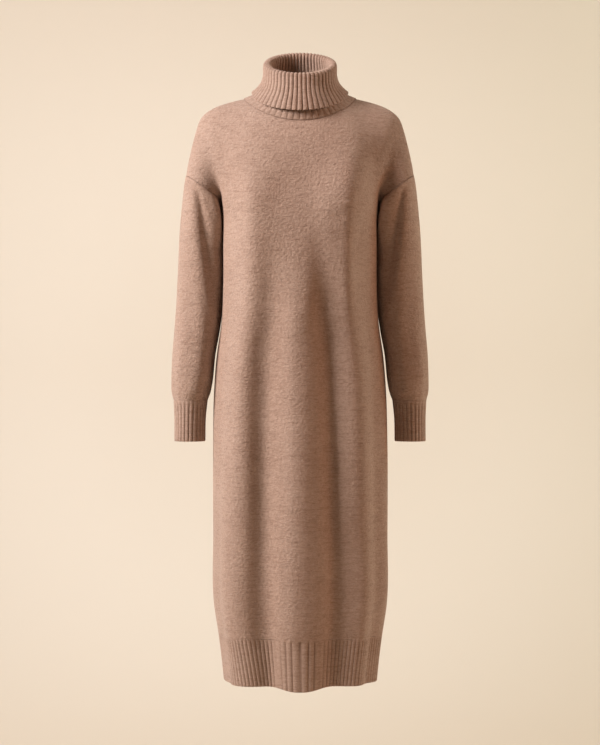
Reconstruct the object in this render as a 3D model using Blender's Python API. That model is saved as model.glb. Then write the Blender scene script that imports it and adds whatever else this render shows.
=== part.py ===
"""A long knitted sweater dress with a roll collar, dropped shoulders and ribbed cuffs and hem.

Metres, +Z up. The front faces -Y and the wearer's left is +X. The origin lies between the
two high shoulder points, where the dress hangs from its wearer. Every piece is a closed
wall of cloth around an open hollow.
"""

import math

import bmesh
import bpy
import numpy as np

# Cloth
KNIT_WALL = 0.0025  # plain knit, thickness
RIB_WALL = 0.0020  # ribbed knit, thickness in a valley
RIB_RELIEF = 0.0013  # how far a rib stands above its valleys
SEAM_GAP = 0.0003  # between two pieces at a seam
RIB_PROFILE = ((0.0, 0.0), (0.28, 1.0), (0.72, 1.0))  # place across one rib, share of the relief
FLAT_PROFILE = ((0.0, 0.0),)

# Counts
NECK_COLUMNS = 7  # wall steps from the centre of a panel to its neck point
SHOULDER_COLUMNS = 7  # and on from there along the shoulder seam
ARMHOLE_STEPS = 10  # wall steps down one half of an armhole
SIDE_STEPS = 12  # wall steps down a side seam
SLEEVE_STEPS = 14  # rings down a sleeve
COLLAR_RIBS = 52
HEM_RIBS = 50  # on each panel
CUFF_RIBS = 30

# Body
NECK_FRONT = (-0.086, -0.052)  # y, z of the neck seam at the centre front
NECK_BACK = (0.085, -0.002)
NECK_ROUNDNESS = 0.5
# The shoulder seam, from the neck point to where the sleeve's top meets the body: x, y, z
SHOULDER_LINE = (
    (0.1120, 0.010, 0.0040),
    (0.1400, 0.008, -0.0035),
    (0.1660, 0.006, -0.0125),
    (0.1870, 0.004, -0.0245),
    (0.2010, 0.003, -0.0390),
    (0.2100, 0.002, -0.0630),
    (0.2210, 0.001, -0.1070),
    (0.2305, 0.000, -0.1540),
)
ARMPIT = (0.1575, 0.000, -0.2060)
ARMHOLE_DEPTH = 0.060  # half its width from front to back
ARMPIT_CENTRE_Z = (-0.222, -0.216)  # front and back centre of the line from armpit to armpit
ARMHOLE_LEAN = (math.radians(24), math.radians(22), math.radians(53))  # wall's lean: drop, front, pit
ARMHOLE_PULL = 2.5  # how closely the columns near an armhole follow it
NECK_SLOPE = ((-0.090, -0.150), (0.070, -0.150))  # way down from the neck, front and back
NECK_SPREAD = 0.09  # the cloth's way outwards where it leaves the neck points
SHOULDER_TURN = 0.85  # share of a half panel over which the cloth turns to leave the seam level
QUARTER_TURN = 1.66  # tangent length of a curve that turns a quarter, over its radius
SOFTENING = 0.08  # how far the cloth below a neck point is evened out, a share of a half panel
SOFTENED_WIDTH = 0.30  # on either side of it
SOFTENED_BY = 0.25  # the share of the way down the armhole where that has its full strength
ROUND_SPREAD = 2 / 3  # how far one round of evening out reaches, squared, in columns
BODY_POWER = 0.78  # how square the body's sections are; 1 is an ellipse

HEM_SEAM_Z = -1.075
HEM_Z = -1.172
HEM_DIP = 0.008  # the centre fold hangs lower than the rest of the hem
HEM_DIP_WIDTH = 10.0  # degrees
SIDE_SPREAD = 1.25  # rows down the skirt lie closer together near the armpit; 1 is even
ARMPIT_DIP_POWER = 4  # how soon the rows below the armpits become level
OUTWARD_LIFT = 0.03  # tells the outside of the cloth on a shoulder, where it faces up
FOLD_END_POWER = 8  # how close to an armhole the body's folds and hollow run

# The body's section at each height: z, side_x, side_y, front_y, back_y
LEVELS = (
    (-1.180, 0.1530, 0.012, -0.116, 0.110),
    (-1.130, 0.1580, 0.012, -0.118, 0.112),
    (-1.075, 0.1650, 0.012, -0.121, 0.116),
    (-1.020, 0.1735, 0.012, -0.124, 0.119),
    (-0.870, 0.1755, 0.014, -0.126, 0.123),
    (-0.700, 0.1757, 0.016, -0.127, 0.127),
    (-0.600, 0.1745, 0.018, -0.125, 0.126),
    (-0.520, 0.1690, 0.020, -0.123, 0.119),
    (-0.450, 0.1590, 0.020, -0.123, 0.110),
    (-0.380, 0.1535, 0.020, -0.126, 0.107),
    (-0.300, 0.1530, 0.020, -0.131, 0.109),
    (-0.250, 0.1532, 0.017, -0.133, 0.114),
    (-0.222, 0.1550, 0.007, -0.132, 0.117),
    (-0.206, 0.1575, 0.000, -0.131, 0.119),
)

# Soft folds that run down the body. Angles are from the centre front, towards the wearer's left:
# top_z, full_z, top_angle, hem_angle, width, height
FOLDS = (
    (-0.13, -0.24, -31, -38, 13, 0.0095),
    (-0.25, -0.42, -17, -17, 10, -0.0120),
    (-0.24, -0.46, 2, 0, 11, 0.0115),
    (-0.22, -0.36, 13, 19, 10, -0.0115),
    (-0.13, -0.26, 24, 37, 12, 0.0085),
    (-0.34, -0.60, 54, 56, 9, -0.0050),
    (-0.34, -0.60, -60, -60, 10, -0.0045),
    (-0.50, -0.75, 74, 73, 9, 0.0040),
    (-0.62, -0.80, -54, -52, 11, 0.0080),
    (-0.78, -0.92, 33, 32, 9, -0.0050),
    (-0.22, -0.50, 122, 128, 13, 0.0080),
    (-0.26, -0.55, 146, 149, 11, -0.0075),
    (-0.20, -0.46, 170, 173, 14, 0.0085),
    (-0.26, -0.48, 195, 197, 11, -0.0080),
    (-0.24, -0.60, 219, 222, 13, 0.0075),
    (-0.40, -0.75, 244, 242, 10, -0.0050),
)
# Short soft folds over the bust and below it, each fading both up and down from its middle:
# middle_z, angle, width, reach, height
SHORT_FOLDS = (
    (-0.187, 33, 18, 0.085, 0.0130),
    (-0.190, 19, 13, 0.065, 0.0090),
    (-0.178, -5, 13, 0.060, -0.0050),
    (-0.350, 25, 8, 0.110, 0.0080),
)
# Next to each arm a panel turns in a ridge, with a hollow between it and the armhole. By the height of
# the panel's edge: edge_z, ridge_angle, ridge_height, hollow_angle, hollow_depth
EDGE_ROWS = (
    (-0.520, 74, 0.0000, 84, 0.000),
    (-0.450, 74, 0.0030, 84, 0.000),
    (-0.380, 74, 0.0060, 84, 0.000),
    (-0.300, 73, 0.0065, 84, 0.000),
    (-0.240, 73, 0.0065, 84, 0.000),
    (-0.206, 71, 0.0065, 82, 0.005),
    (-0.198, 70, 0.0060, 80, 0.008),
    (-0.184, 69, 0.0050, 78, 0.008),
    (-0.172, 68, 0.0040, 77, 0.006),
    (-0.161, 66, 0.0020, 75, 0.003),
    (-0.154, 64, 0.0000, 72, 0.000),
)
EDGE_WIDTH = 8.5  # degrees

# The left sleeve's rings, from the armhole down: outer_x, outer_z, inner_x, inner_z, mid_y, half_depth
SLEEVE_RINGS = (
    (0.2305, -0.1540, 0.1575, -0.2060, 0.000, 0.0600),
    (0.2347, -0.1800, 0.1570, -0.2180, 0.002, 0.0595),
    (0.2395, -0.2220, 0.1543, -0.2500, 0.006, 0.0590),
    (0.2440, -0.2750, 0.1542, -0.2930, 0.009, 0.0580),
    (0.2475, -0.3500, 0.1545, -0.3600, 0.011, 0.0570),
    (0.2510, -0.4160, 0.1567, -0.4200, 0.012, 0.0560),
    (0.2545, -0.4650, 0.1625, -0.4660, 0.011, 0.0545),
    (0.2585, -0.5150, 0.1712, -0.5150, 0.009, 0.0530),
    (0.2600, -0.5600, 0.1755, -0.5600, 0.006, 0.0510),
    (0.2600, -0.5880, 0.1800, -0.5880, 0.004, 0.0470),
    (0.2575, -0.6060, 0.1850, -0.6060, 0.003, 0.0420),
)
SLEEVE_FOLD_POWER = 0.7  # how soon a sleeve's fold reaches its full height; 1 is a plain arch
# Soft folds on a sleeve, by the share of its length where each starts and ends. Angles go from the
# outer edge over the front to the inner edge: top, bottom, top_angle, bottom_angle, width, height
SLEEVE_FOLDS = (
    (0.03, 0.52, 68, 138, 18, -0.0085),
    (0.00, 0.32, 119, 140, 19, 0.0085),
    (0.34, 0.95, 112, 110, 30, 0.0050),
    (0.30, 0.74, 56, 88, 26, -0.0035),
    (0.58, 0.99, 100, 72, 24, -0.0025),
    (0.80, 1.00, 35, 28, 20, -0.0030),
    (0.80, 1.00, 140, 146, 20, -0.0030),
    (0.04, 0.52, 284, 222, 25, -0.0070),
    (0.36, 0.82, 310, 265, 26, -0.0040),
    (0.76, 1.00, 248, 262, 22, -0.0035),
)

# The left cuff: z, middle_x, middle_y, half_width, half_depth
CUFF_ROWS = (
    (-0.6063, 0.2210, 0.0030, 0.0345, 0.0400),
    (-0.6400, 0.2220, 0.0020, 0.0320, 0.0375),
    (-0.6890, 0.2225, 0.0010, 0.0315, 0.0370),
)

# Roll collar: the hidden face of the ribbed tube, from the neck seam up, over and down:
# side_x, side_y, side_z, front_y, front_z, back_y, back_z
STAND_ROWS = (
    (0.0985, 0.007, 0.0095, -0.0845, -0.0370, 0.0820, 0.0130),
    (0.0865, 0.004, 0.0155, -0.0805, -0.0210, 0.0770, 0.0300),
    (0.0740, 0.001, 0.0275, -0.0730, -0.0010, 0.0690, 0.0500),
    (0.0635, -0.002, 0.0520, -0.0640, 0.0240, 0.0590, 0.0780),
)
ROLL_RADIUS = 0.005
ROLL_CENTRE = (0.0662, -0.003, 0.0690, -0.0655, 0.0405, 0.0595, 0.0975)
ROLL_STEPS = 3
FLAP_ROWS = (
    (0.0720, -0.002, 0.0480, -0.0742, 0.0170, 0.0704, 0.0720),
    (0.0765, 0.000, 0.0335, -0.0790, 0.0010, 0.0762, 0.0530),
    (0.0860, 0.003, 0.0225, -0.0840, -0.0150, 0.0820, 0.0370),
    (0.0965, 0.006, 0.0150, -0.0895, -0.0335, 0.0880, 0.0200),
)

KNIT_COLOUR = (0.352, 0.228, 0.162, 1.0)
RIB_COLOUR = (0.330, 0.212, 0.150, 1.0)
CLOTH_ROUGHNESS = 0.92


def smooth(table_at, table, at):
    """A table's rows read at any place between them, along smooth curves."""
    table_at, table = np.asarray(table_at, float), np.asarray(table, float)
    slopes = np.gradient(table, table_at, axis=0)
    k = np.clip(np.searchsorted(table_at, at) - 1, 0, len(table_at) - 2)
    step = table_at[k + 1] - table_at[k]
    t = np.clip((at - table_at[k]) / step, 0, 1)
    return (
        (2 * t**3 - 3 * t**2 + 1) * table[k]
        + (t**3 - 2 * t**2 + t) * step * slopes[k]
        + (3 * t**2 - 2 * t**3) * table[k + 1]
        + (t**3 - t**2) * step * slopes[k + 1]
    )


def level(z):
    """(side_x, side_y, front_y, back_y) of the body at one height."""
    table = np.array(LEVELS)
    return smooth(table[:, 0], table[:, 1:], z)


def unit(vectors):
    return vectors / np.linalg.norm(vectors, axis=-1, keepdims=True)


def armhole_point(psi):
    """The left armhole: psi is 0 at the dropped shoulder, half a turn at the armpit, front first."""
    share = (1 - math.cos(psi)) / 2
    point = np.array(SHOULDER_LINE[-1]) * (1 - share) + np.array(ARMPIT) * share
    return point - (0, ARMHOLE_DEPTH * math.sin(psi), 0)


def armhole_directions(psi):
    """(normal, across): out of the cloth at the armhole, and across the seam to the sleeve."""
    up = unit(np.array(SHOULDER_LINE[-1]) - ARMPIT)
    along_arm = np.array((up[2], 0.0, -up[0]))
    radial = up * math.cos(psi) + np.array((0.0, -1.0, 0.0)) * math.sin(psi)
    at_drop, at_front, at_pit = ARMHOLE_LEAN
    side = math.sin(psi) ** 2
    lean = (at_drop if math.cos(psi) > 0 else at_pit) * (1 - side) + at_front * side
    normal = radial * math.cos(lean) + along_arm * math.sin(lean)
    across = -radial * math.sin(lean) + along_arm * math.cos(lean)
    return normal, across


def half_row(shares, centre, end, roundness, power=1.0):
    """Points from a panel's centre to its side, along a quarter turn. A lower power is squarer."""
    angle = np.asarray(shares)[:, None] * math.pi / 2
    sideways = np.sin(angle) ** power
    back = 1 - np.maximum(np.cos(angle), 0) ** power
    rise = roundness * sideways**2 + (1 - roundness) * back
    x = centre[0] + (end[0] - centre[0]) * sideways
    y = centre[1] + (end[1] - centre[1]) * back
    z = centre[2] + (end[2] - centre[2]) * rise
    return np.hstack((x, y, z))


def bell(distance, width):
    return np.exp(-((distance / width) ** 2))


def ramp(value, start, full):
    t = np.clip((value - start) / (full - start), 0, 1)
    return t * t * (3 - 2 * t)


def around(angle):
    """An angle in degrees, brought within half a turn of zero."""
    return (angle + 180) % 360 - 180


def body_fold(angle, z):
    """How far the folds move the cloth outwards, at an angle from the centre front and a height."""
    moved = np.zeros_like(angle)
    for top_z, full_z, top_angle, hem_angle, width, height in FOLDS:
        share = ramp(-z, -top_z, -HEM_SEAM_Z)
        middle = top_angle + (hem_angle - top_angle) * share
        moved += height * ramp(-z, -top_z, -full_z) * bell(around(angle - middle), width)
    for middle_z, middle, width, reach, height in SHORT_FOLDS:
        moved += height * bell(z - middle_z, reach) * bell(around(angle - middle), width)
    return moved


def beside_arm(from_centre, edge_z):
    """How far the ridge and the hollow next to an arm move the cloth outwards."""
    table = np.array(EDGE_ROWS)
    ridge_angle, ridge, hollow_angle, depth = smooth(table[:, 0], table[:, 1:], edge_z)
    moved = ridge * bell(from_centre - ridge_angle, EDGE_WIDTH)
    moved -= depth * bell(from_centre - hollow_angle, EDGE_WIDTH)
    return moved * (1 - (from_centre / 90) ** FOLD_END_POWER)


def top_edge(shares, is_back):
    """Half of a panel's top: its neck from the centre out, then its shoulder seam."""
    at_neck = shares[shares <= 0.5] * 2
    y, z = NECK_BACK if is_back else NECK_FRONT
    neck = half_row(at_neck, (0.0, y, z), SHOULDER_LINE[0], NECK_ROUNDNESS)
    rows = range(len(SHOULDER_LINE))
    along = (shares[shares > 0.5] * 2 - 1) * rows[-1]
    shoulder = [smooth(rows, SHOULDER_LINE, at) for at in along]
    return np.vstack((neck, shoulder))


def yoke(shares, downs, is_back):
    """Half of a panel from its neck and shoulder down to the line between the armpits."""
    top = top_edge(shares, is_back)
    _, _, front_y, back_y = level(ARMPIT[2])
    centre = (0.0, back_y if is_back else front_y, ARMPIT_CENTRE_Z[is_back])
    bottom = half_row(shares, centre, ARMPIT, 1.0, BODY_POWER)
    drop = bottom - top
    over = ramp(shares, 0, SHOULDER_TURN)[:, None]
    slope = np.array((0.0, *NECK_SLOPE[is_back]))
    turning = drop * (0, QUARTER_TURN, 0)
    leaving = slope * (1 - over) + turning * over
    round_neck = np.sin(math.pi * np.minimum(shares, 0.5))
    leaving[:, 0] += NECK_SPREAD * round_neck * (1 - ramp(shares, 0.5, SHOULDER_TURN))
    arriving = np.zeros_like(drop)
    arriving[:, 2] = drop[:, 2] * (1 + (QUARTER_TURN - 1) * over[:, 0])
    pull = (np.maximum(shares * 2 - 1, 0) ** ARMHOLE_PULL)[:, None]
    rows = []
    for t in downs:
        falling = (
            (2 * t**3 - 3 * t**2 + 1) * top
            + (t**3 - 2 * t**2 + t) * leaving
            + (3 * t**2 - 2 * t**3) * bottom
            + (t**3 - t**2) * arriving
        )
        psi = t * math.pi * (-1 if is_back else 1)
        along_arm = top + drop * (1 - math.cos(psi)) / 2
        along_arm[:, 1] -= ARMHOLE_DEPTH * math.sin(psi)
        rows.append(falling * (1 - pull) + along_arm * pull)
    rows = np.array(rows)
    strength = ramp(np.asarray(downs), 0, SOFTENED_BY)[:, None] * bell(shares - 0.5, SOFTENED_WIDTH)
    for _ in range(round((SOFTENING * (len(shares) - 1)) ** 2 / ROUND_SPREAD)):
        change = rows[:, :-2] + rows[:, 2:] - 2 * rows[:, 1:-1]
        rows[:, 1:-1] += change / 3 * strength[:, 1:-1, None]
    return list(rows)


def skirt(shares, downs, is_back):
    """Half of a panel from the line between the armpits down to the hem rib."""
    rows = []
    dip = ARMPIT_CENTRE_Z[is_back] - ARMPIT[2]
    for t in downs:
        z = ARMPIT[2] + (HEM_SEAM_Z - ARMPIT[2]) * t**SIDE_SPREAD
        side_x, side_y, front_y, back_y = level(z)
        centre = (0.0, back_y if is_back else front_y, z + dip * (1 - t) ** ARMPIT_DIP_POWER)
        rows.append(half_row(shares, centre, (side_x, side_y, z), 1.0, BODY_POWER))
    return rows


def panel_base(shares, armhole_downs, side_downs, is_back):
    """A panel's smooth surface, its points' angles and how far down the armhole each row is."""
    rows = yoke(shares, armhole_downs, is_back) + skirt(shares, side_downs, is_back)
    left = np.array(rows)
    points = np.concatenate((left[:, :0:-1] * (-1, 1, 1), left), axis=1)
    angles = 90 * np.concatenate((-shares[:0:-1], shares))
    return points, 180 - angles if is_back else angles


def grid_normals(points, before, after, above, outward):
    """Normals of a grid from its points and the ghost points around it, turned to face outward."""
    wide = np.concatenate((before[:, None], points, after[:, None]), axis=1)
    along = np.gradient(wide, axis=1)[:, 1:-1]
    tall = np.concatenate((above[None], points))
    down = np.gradient(tall, axis=0)[1:]
    normals = unit(np.cross(along, down))
    return normals * (-1 if np.sum(normals * outward) < 0 else 1)


def body_panels(shares, armhole_downs, side_downs):
    """[(points, normals)] of the front and the back, folds included, with seams shared exactly."""
    last_arm = len(armhole_downs) - 1
    on_shoulder = np.abs(np.linspace(-1, 1, 2 * len(shares) - 1)) >= 0.5 - 1e-9
    bases = [panel_base(shares, armhole_downs, side_downs, is_back) for is_back in (False, True)]
    panels = [points for points, _ in bases]

    def normals_of(which):
        one, other = panels[which], panels[1 - which]
        side = np.arange(len(one))[:, None] > last_arm
        before = np.where(side, other[:, 1], 2 * one[:, 0] - one[:, 1])
        after = np.where(side, other[:, -2], 2 * one[:, -1] - one[:, -2])
        above = np.where(on_shoulder[:, None], other[1], 2 * one[0] - one[1])
        outward = one * (1, 1, 0) + (0, 0, OUTWARD_LIFT)
        normals = grid_normals(one, before, after, above, outward)
        for row, down in enumerate(armhole_downs):
            normal, _ = armhole_directions(down * math.pi * (-1 if which else 1))
            normals[row, -2] = unit(normals[row, -2] + normal / 2)
            normals[row, 1] = unit(normals[row, 1] + normal * (-1, 1, 1) / 2)
            normals[row, -1] = normal
            normals[row, 0] = normal * (-1, 1, 1)
        return normals

    base_normals = [normals_of(0), normals_of(1)]
    for which, (points, angles) in enumerate(bases):
        from_centre = np.abs(around(180 - angles)) if which else np.abs(angles)
        for row in range(len(points)):
            moved = body_fold(angles, points[row, :, 2])
            if row <= last_arm:
                moved *= 1 - (from_centre / 90) ** FOLD_END_POWER
            moved += beside_arm(from_centre, points[row, -1, 2])
            points[row] += base_normals[which][row] * moved[:, None] * ramp(row, 0, 2)
    front, back = panels
    for column in (0, -1):
        seam = (front[last_arm + 1 :, column] + back[last_arm + 1 :, column]) / 2
        front[last_arm + 1 :, column] = seam
        back[last_arm + 1 :, column] = seam
    normals = [normals_of(0), normals_of(1)]
    for column in (0, -1):
        shared = unit(normals[0][last_arm + 1 :, column] + normals[1][last_arm + 1 :, column])
        normals[0][last_arm + 1 :, column] = shared
        normals[1][last_arm + 1 :, column] = shared
    inside = on_shoulder.copy()
    inside[[0, -1]] = False
    shared = unit(normals[0][0, inside] + normals[1][0, inside])
    normals[0][0, inside] = shared
    normals[1][0, inside] = shared
    return [(panels[0], normals[0]), (panels[1], normals[1])]


def open_seams(points, armhole_downs, is_back):
    """The panel drawn back from its shoulder, armhole and side seams by half the gap."""
    half = SEAM_GAP / 2
    last_arm = len(armhole_downs) - 1
    moved = points.copy()
    on_shoulder = np.abs(np.linspace(-1, 1, points.shape[1])) >= 0.5 - 1e-9
    moved[0, on_shoulder] += (0, half if is_back else -half, 0)
    for column, inner, side in ((-1, -2, 1), (0, 1, -1)):
        inwards = unit(points[last_arm:, inner] - points[last_arm:, column])
        moved[last_arm:, column] += inwards * half
        for row, down in enumerate(armhole_downs):
            _, across = armhole_directions(down * math.pi * (-1 if is_back else 1))
            moved[row, column] -= across * (side, 1, 1) * half
    return moved


def stitch(faces, first, first_at, second, second_at):
    """Triangles between two lines of points, each with its place along the line."""
    i = j = 0
    while i < len(first) - 1 or j < len(second) - 1:
        first_next = first_at[i + 1] if i < len(first) - 1 else math.inf
        second_next = second_at[j + 1] if j < len(second) - 1 else math.inf
        if first_next <= second_next + 1e-9:
            faces.append((first[i], first[i + 1], second[j]))
            i += 1
        else:
            faces.append((first[i], second[j + 1], second[j]))
            j += 1


def cloth(name, colour):
    """A matt knitted cloth."""
    material = bpy.data.materials.new(name)
    material.use_nodes = True
    shader = material.node_tree.nodes["Principled BSDF"]
    shader.inputs["Base Color"].default_value = colour
    shader.inputs["Roughness"].default_value = CLOTH_ROUGHNESS
    shader.inputs["Metallic"].default_value = 0.0
    return material


def build_wall(name, outer, inner, closed, colour):
    """One closed wall from its outer and inner lines, each a pair (points, places along it)."""
    vertices, faces = [], []

    def add(lines):
        numbered = []
        for points, places in lines:
            start = len(vertices)
            vertices.extend(map(tuple, points))
            numbers = list(range(start, start + len(points)))
            places = list(places)
            if closed:
                numbers.append(start)
                places.append(1.0)
            numbered.append((numbers, places))
        return numbered

    outer_lines, inner_lines = add(outer), add(inner)
    for lines in (outer_lines, inner_lines):
        for (low, low_at), (high, high_at) in zip(lines, lines[1:]):
            stitch(faces, low, low_at, high, high_at)
    for k in (0, -1):
        stitch(faces, *outer_lines[k], *inner_lines[k])
    if not closed:
        for end in (0, -1):
            outer_side = [line[0][end] for line in outer_lines]
            inner_side = [line[0][end] for line in inner_lines]
            outer_at = np.linspace(0, 1, len(outer_side))
            inner_at = np.linspace(0, 1, len(inner_side))
            stitch(faces, outer_side, outer_at, inner_side, inner_at)
    mesh = bpy.data.meshes.new(name)
    mesh.from_pydata(vertices, [], faces)
    shape = bmesh.new()
    shape.from_mesh(mesh)
    bmesh.ops.recalc_face_normals(shape, faces=shape.faces)
    shape.to_mesh(mesh)
    shape.free()
    mesh.shade_smooth()
    mesh.set_sharp_from_angle(angle=math.radians(50))
    mesh.materials.append(cloth(name + "_cloth", colour))
    piece = bpy.data.objects.new(name, mesh)
    bpy.context.collection.objects.link(piece)


def plain_wall(name, points, normals, closed):
    places = np.linspace(0, 1, points.shape[1] + (1 if closed else 0))[: points.shape[1]]
    outer = [(row, places) for row in points]
    inner = [(row, places) for row in points - normals * KNIT_WALL]
    build_wall(name, outer, inner, closed, KNIT_COLOUR)


def rib_shares(ribs, profile, closed):
    """Places along a ribbed edge and the height of the rib there, as a share of its relief."""
    places = [(k + at) / ribs for k in range(ribs) for at, _ in profile]
    heights = [height for _ in range(ribs) for _, height in profile]
    if not closed:
        places.append(1.0)
        heights.append(0.0)
    return np.array(places), np.array(heights)


def ring(shares, side, front, back, roundness):
    """A closed ring through its side, front and back points; shares run once round from the right side."""
    turns = np.asarray(shares) * 4 % 4
    points = np.empty((len(turns), 3))
    for quarter in range(4):
        picked = (turns >= quarter) & (turns < quarter + 1)
        from_start = turns[picked] - quarter
        is_front = quarter < 2
        to_side = 1 - from_start if quarter % 2 == 0 else from_start
        centre = (0.0, *(front if is_front else back))
        arc = half_row(to_side, centre, side, roundness)
        if quarter in (0, 3):
            arc[:, 0] *= -1
        points[picked] = arc
    return points


def ring_normals(rows, outward_from):
    """Normals of rings stacked in rows, turned away from outward_from at each row."""
    return grid_normals(rows, rows[:, -1], rows[:, 0], 2 * rows[0] - rows[1], rows - outward_from)


def sleeve_rings(angles):
    """The left sleeve's outer rings, from the armhole down, folds included, and their normals."""
    table = np.array(SLEEVE_RINGS)
    stations = np.linspace(0, len(table) - 1, SLEEVE_STEPS + 1)
    rings, centres = [], []
    for at in stations:
        outer_x, outer_z, inner_x, inner_z, mid_y, half_depth = smooth(range(len(table)), table, at)
        share = (1 + np.cos(angles)) / 2
        x = inner_x + (outer_x - inner_x) * share
        z = inner_z + (outer_z - inner_z) * share
        rings.append(np.stack((x, mid_y - half_depth * np.sin(angles), z), axis=1))
        centres.append(((outer_x + inner_x) / 2, mid_y, (outer_z + inner_z) / 2))
    rings, centres = np.array(rings), np.array(centres)[:, None]
    normals = ring_normals(rings, centres)
    degrees = np.degrees(angles)
    down = np.linspace(0, 1, len(rings))
    for k, row in enumerate(rings):
        moved = np.zeros_like(degrees)
        for top, bottom, top_angle, bottom_angle, width, height in SLEEVE_FOLDS:
            share = (down[k] - top) / (bottom - top)
            if not 0 < share < 1:
                continue
            middle = top_angle + (bottom_angle - top_angle) * share
            strength = math.sin(math.pi * share) ** SLEEVE_FOLD_POWER
            moved += height * strength * bell(around(degrees - middle), width)
        row += normals[k] * moved[:, None]
    normals = ring_normals(rings, centres)
    for k, psi in enumerate(angles):
        normals[0, k], across = armhole_directions(psi)
        rings[0, k] = armhole_point(psi) + across * SEAM_GAP / 2
    normals[-1] = unit(normals[-1] * (1, 1, 0))
    return rings, normals


def neck_ring(panels, neck):
    """The neck seam as one ring from the wearer's right: its points, normals and way up across it."""
    points, normals = (
        np.vstack((panels[0][part][0, neck][:-1], panels[1][part][0, neck][:0:-1])) for part in (0, 1)
    )
    for neck_point in (0, 2 * NECK_COLUMNS):
        normals[neck_point] = normals[neck_point - 1] + normals[neck_point + 1]
    along = unit(np.roll(points, -1, axis=0) - np.roll(points, 1, axis=0))
    normals = unit(normals - along * np.sum(normals * along, axis=1, keepdims=True))
    across = np.cross(along, normals)
    across *= np.where(np.sum(across * points * (1, 1, 0), axis=1, keepdims=True) > 0, -1, 1)
    return points, normals, across


def make_body():
    """Both panels; gives back the neck seam that the collar stands on."""
    columns = NECK_COLUMNS + SHOULDER_COLUMNS
    shares = np.linspace(0, 1, columns + 1)
    armhole_downs = np.linspace(0, 1, ARMHOLE_STEPS + 1)
    side_downs = np.linspace(0, 1, SIDE_STEPS + 1)[1:]
    panels = body_panels(shares, armhole_downs, side_downs)
    neck = slice(columns - NECK_COLUMNS, columns + NECK_COLUMNS + 1)
    ring = neck_ring(panels, neck)
    half = 2 * NECK_COLUMNS
    panels[0][1][0, neck] = ring[1][: half + 1]
    panels[1][1][0, neck] = np.vstack((ring[1][:1], ring[1][:half - 1:-1]))
    for which, name in enumerate(("front", "back")):
        points, normals = panels[which]
        opened = open_seams(points, armhole_downs, bool(which))
        opened[-1, :, 2] = HEM_SEAM_Z + SEAM_GAP / 2
        normals[-1] = unit(normals[-1] * (1, 1, 0))
        plain_wall(name, opened, normals, False)
    return ring


def make_sleeves():
    angles = np.arange(2 * ARMHOLE_STEPS) * math.pi / ARMHOLE_STEPS
    rings, normals = sleeve_rings(angles)
    for name, side in (("left_sleeve", 1), ("right_sleeve", -1)):
        mirror = (side, 1, 1)
        plain_wall(name, rings * mirror, normals * mirror, True)


def make_cuffs():
    outer_shares, heights = rib_shares(CUFF_RIBS, RIB_PROFILE, True)
    inner_shares, _ = rib_shares(CUFF_RIBS, FLAT_PROFILE, True)
    for name, side in (("left_cuff", 1), ("right_cuff", -1)):
        lines = []
        for shares, raised in ((outer_shares, RIB_WALL + RIB_RELIEF * heights), (inner_shares, 0.0)):
            angle = 2 * math.pi * shares
            rows = []
            for z, middle_x, middle_y, half_width, half_depth in CUFF_ROWS:
                grown = raised - RIB_WALL - RIB_RELIEF
                x = middle_x + (half_width + grown) * np.cos(angle)
                y = middle_y - (half_depth + grown) * np.sin(angle)
                rows.append((np.stack((x * side, y, np.full_like(x, z)), axis=1), shares))
            lines.append(rows)
        build_wall(name, *lines, True, RIB_COLOUR)


def hem_row(z, shares, is_back, raised):
    """One line of a hem rib: the body's own section and folds, moved by raised across the cloth."""
    side_x, side_y, front_y, back_y = level(z)
    across = 2 * shares - 1
    centre = (0.0, back_y if is_back else front_y, z)
    row = half_row(np.abs(across), centre, (side_x, side_y, z), 1.0, BODY_POWER)
    row[:, 0] *= np.sign(across)
    angles = 180 - 90 * across if is_back else 90 * across
    along = np.gradient(row, axis=0)
    normals = unit(np.stack((-along[:, 1], along[:, 0], np.zeros(len(row))), axis=1))
    normals *= np.where(np.sum(normals * row * (1, 1, 0), axis=1, keepdims=True) < 0, -1, 1)
    normals[[0, -1]] = ((-1, 0, 0), (1, 0, 0))
    row += normals * (body_fold(angles, np.full_like(angles, z)) + raised)[:, None]
    row[:, 2] -= HEM_DIP * bell(around(angles), HEM_DIP_WIDTH) * ramp(-z, -HEM_SEAM_Z, -HEM_Z)
    row[[0, -1], 1] += SEAM_GAP / 2 if is_back else -SEAM_GAP / 2
    return row


def make_hem():
    outer_shares, heights = rib_shares(HEM_RIBS, RIB_PROFILE, False)
    inner_shares, flat = rib_shares(HEM_RIBS // 2, FLAT_PROFILE, False)
    for name, is_back in (("hem_rib_front", False), ("hem_rib_back", True)):
        outer, inner = [], []
        for z in (HEM_SEAM_Z - SEAM_GAP / 2, (HEM_SEAM_Z + HEM_Z) / 2, HEM_Z):
            outer.append((hem_row(z, outer_shares, is_back, RIB_RELIEF * (heights - 1)), outer_shares))
            inner.append((hem_row(z, inner_shares, is_back, flat - RIB_WALL - RIB_RELIEF), inner_shares))
        build_wall(name, outer, inner, False, RIB_COLOUR)


def collar_rows(shares):
    """The hidden face of the collar as rings, and normals that point to its ribbed face."""
    rows = list(STAND_ROWS)
    side_x, side_y, side_z, front_y, front_z, back_y, back_z = ROLL_CENTRE
    for k in range(ROLL_STEPS + 1):
        turn = math.pi * k / ROLL_STEPS
        out, up = -math.cos(turn) * ROLL_RADIUS, math.sin(turn) * ROLL_RADIUS
        side = (side_x + out, side_y, side_z + up)
        rows.append((*side, front_y - out, front_z + up, back_y + out, back_z + up))
    rows += FLAP_ROWS
    rings = []
    for k, row in enumerate(rows):
        roundness = NECK_ROUNDNESS * (1 - ramp(k, 0, len(STAND_ROWS)))
        rings.append(ring(shares, row[:3], row[3:5], row[5:], roundness))
    return np.array(rings)


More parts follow.
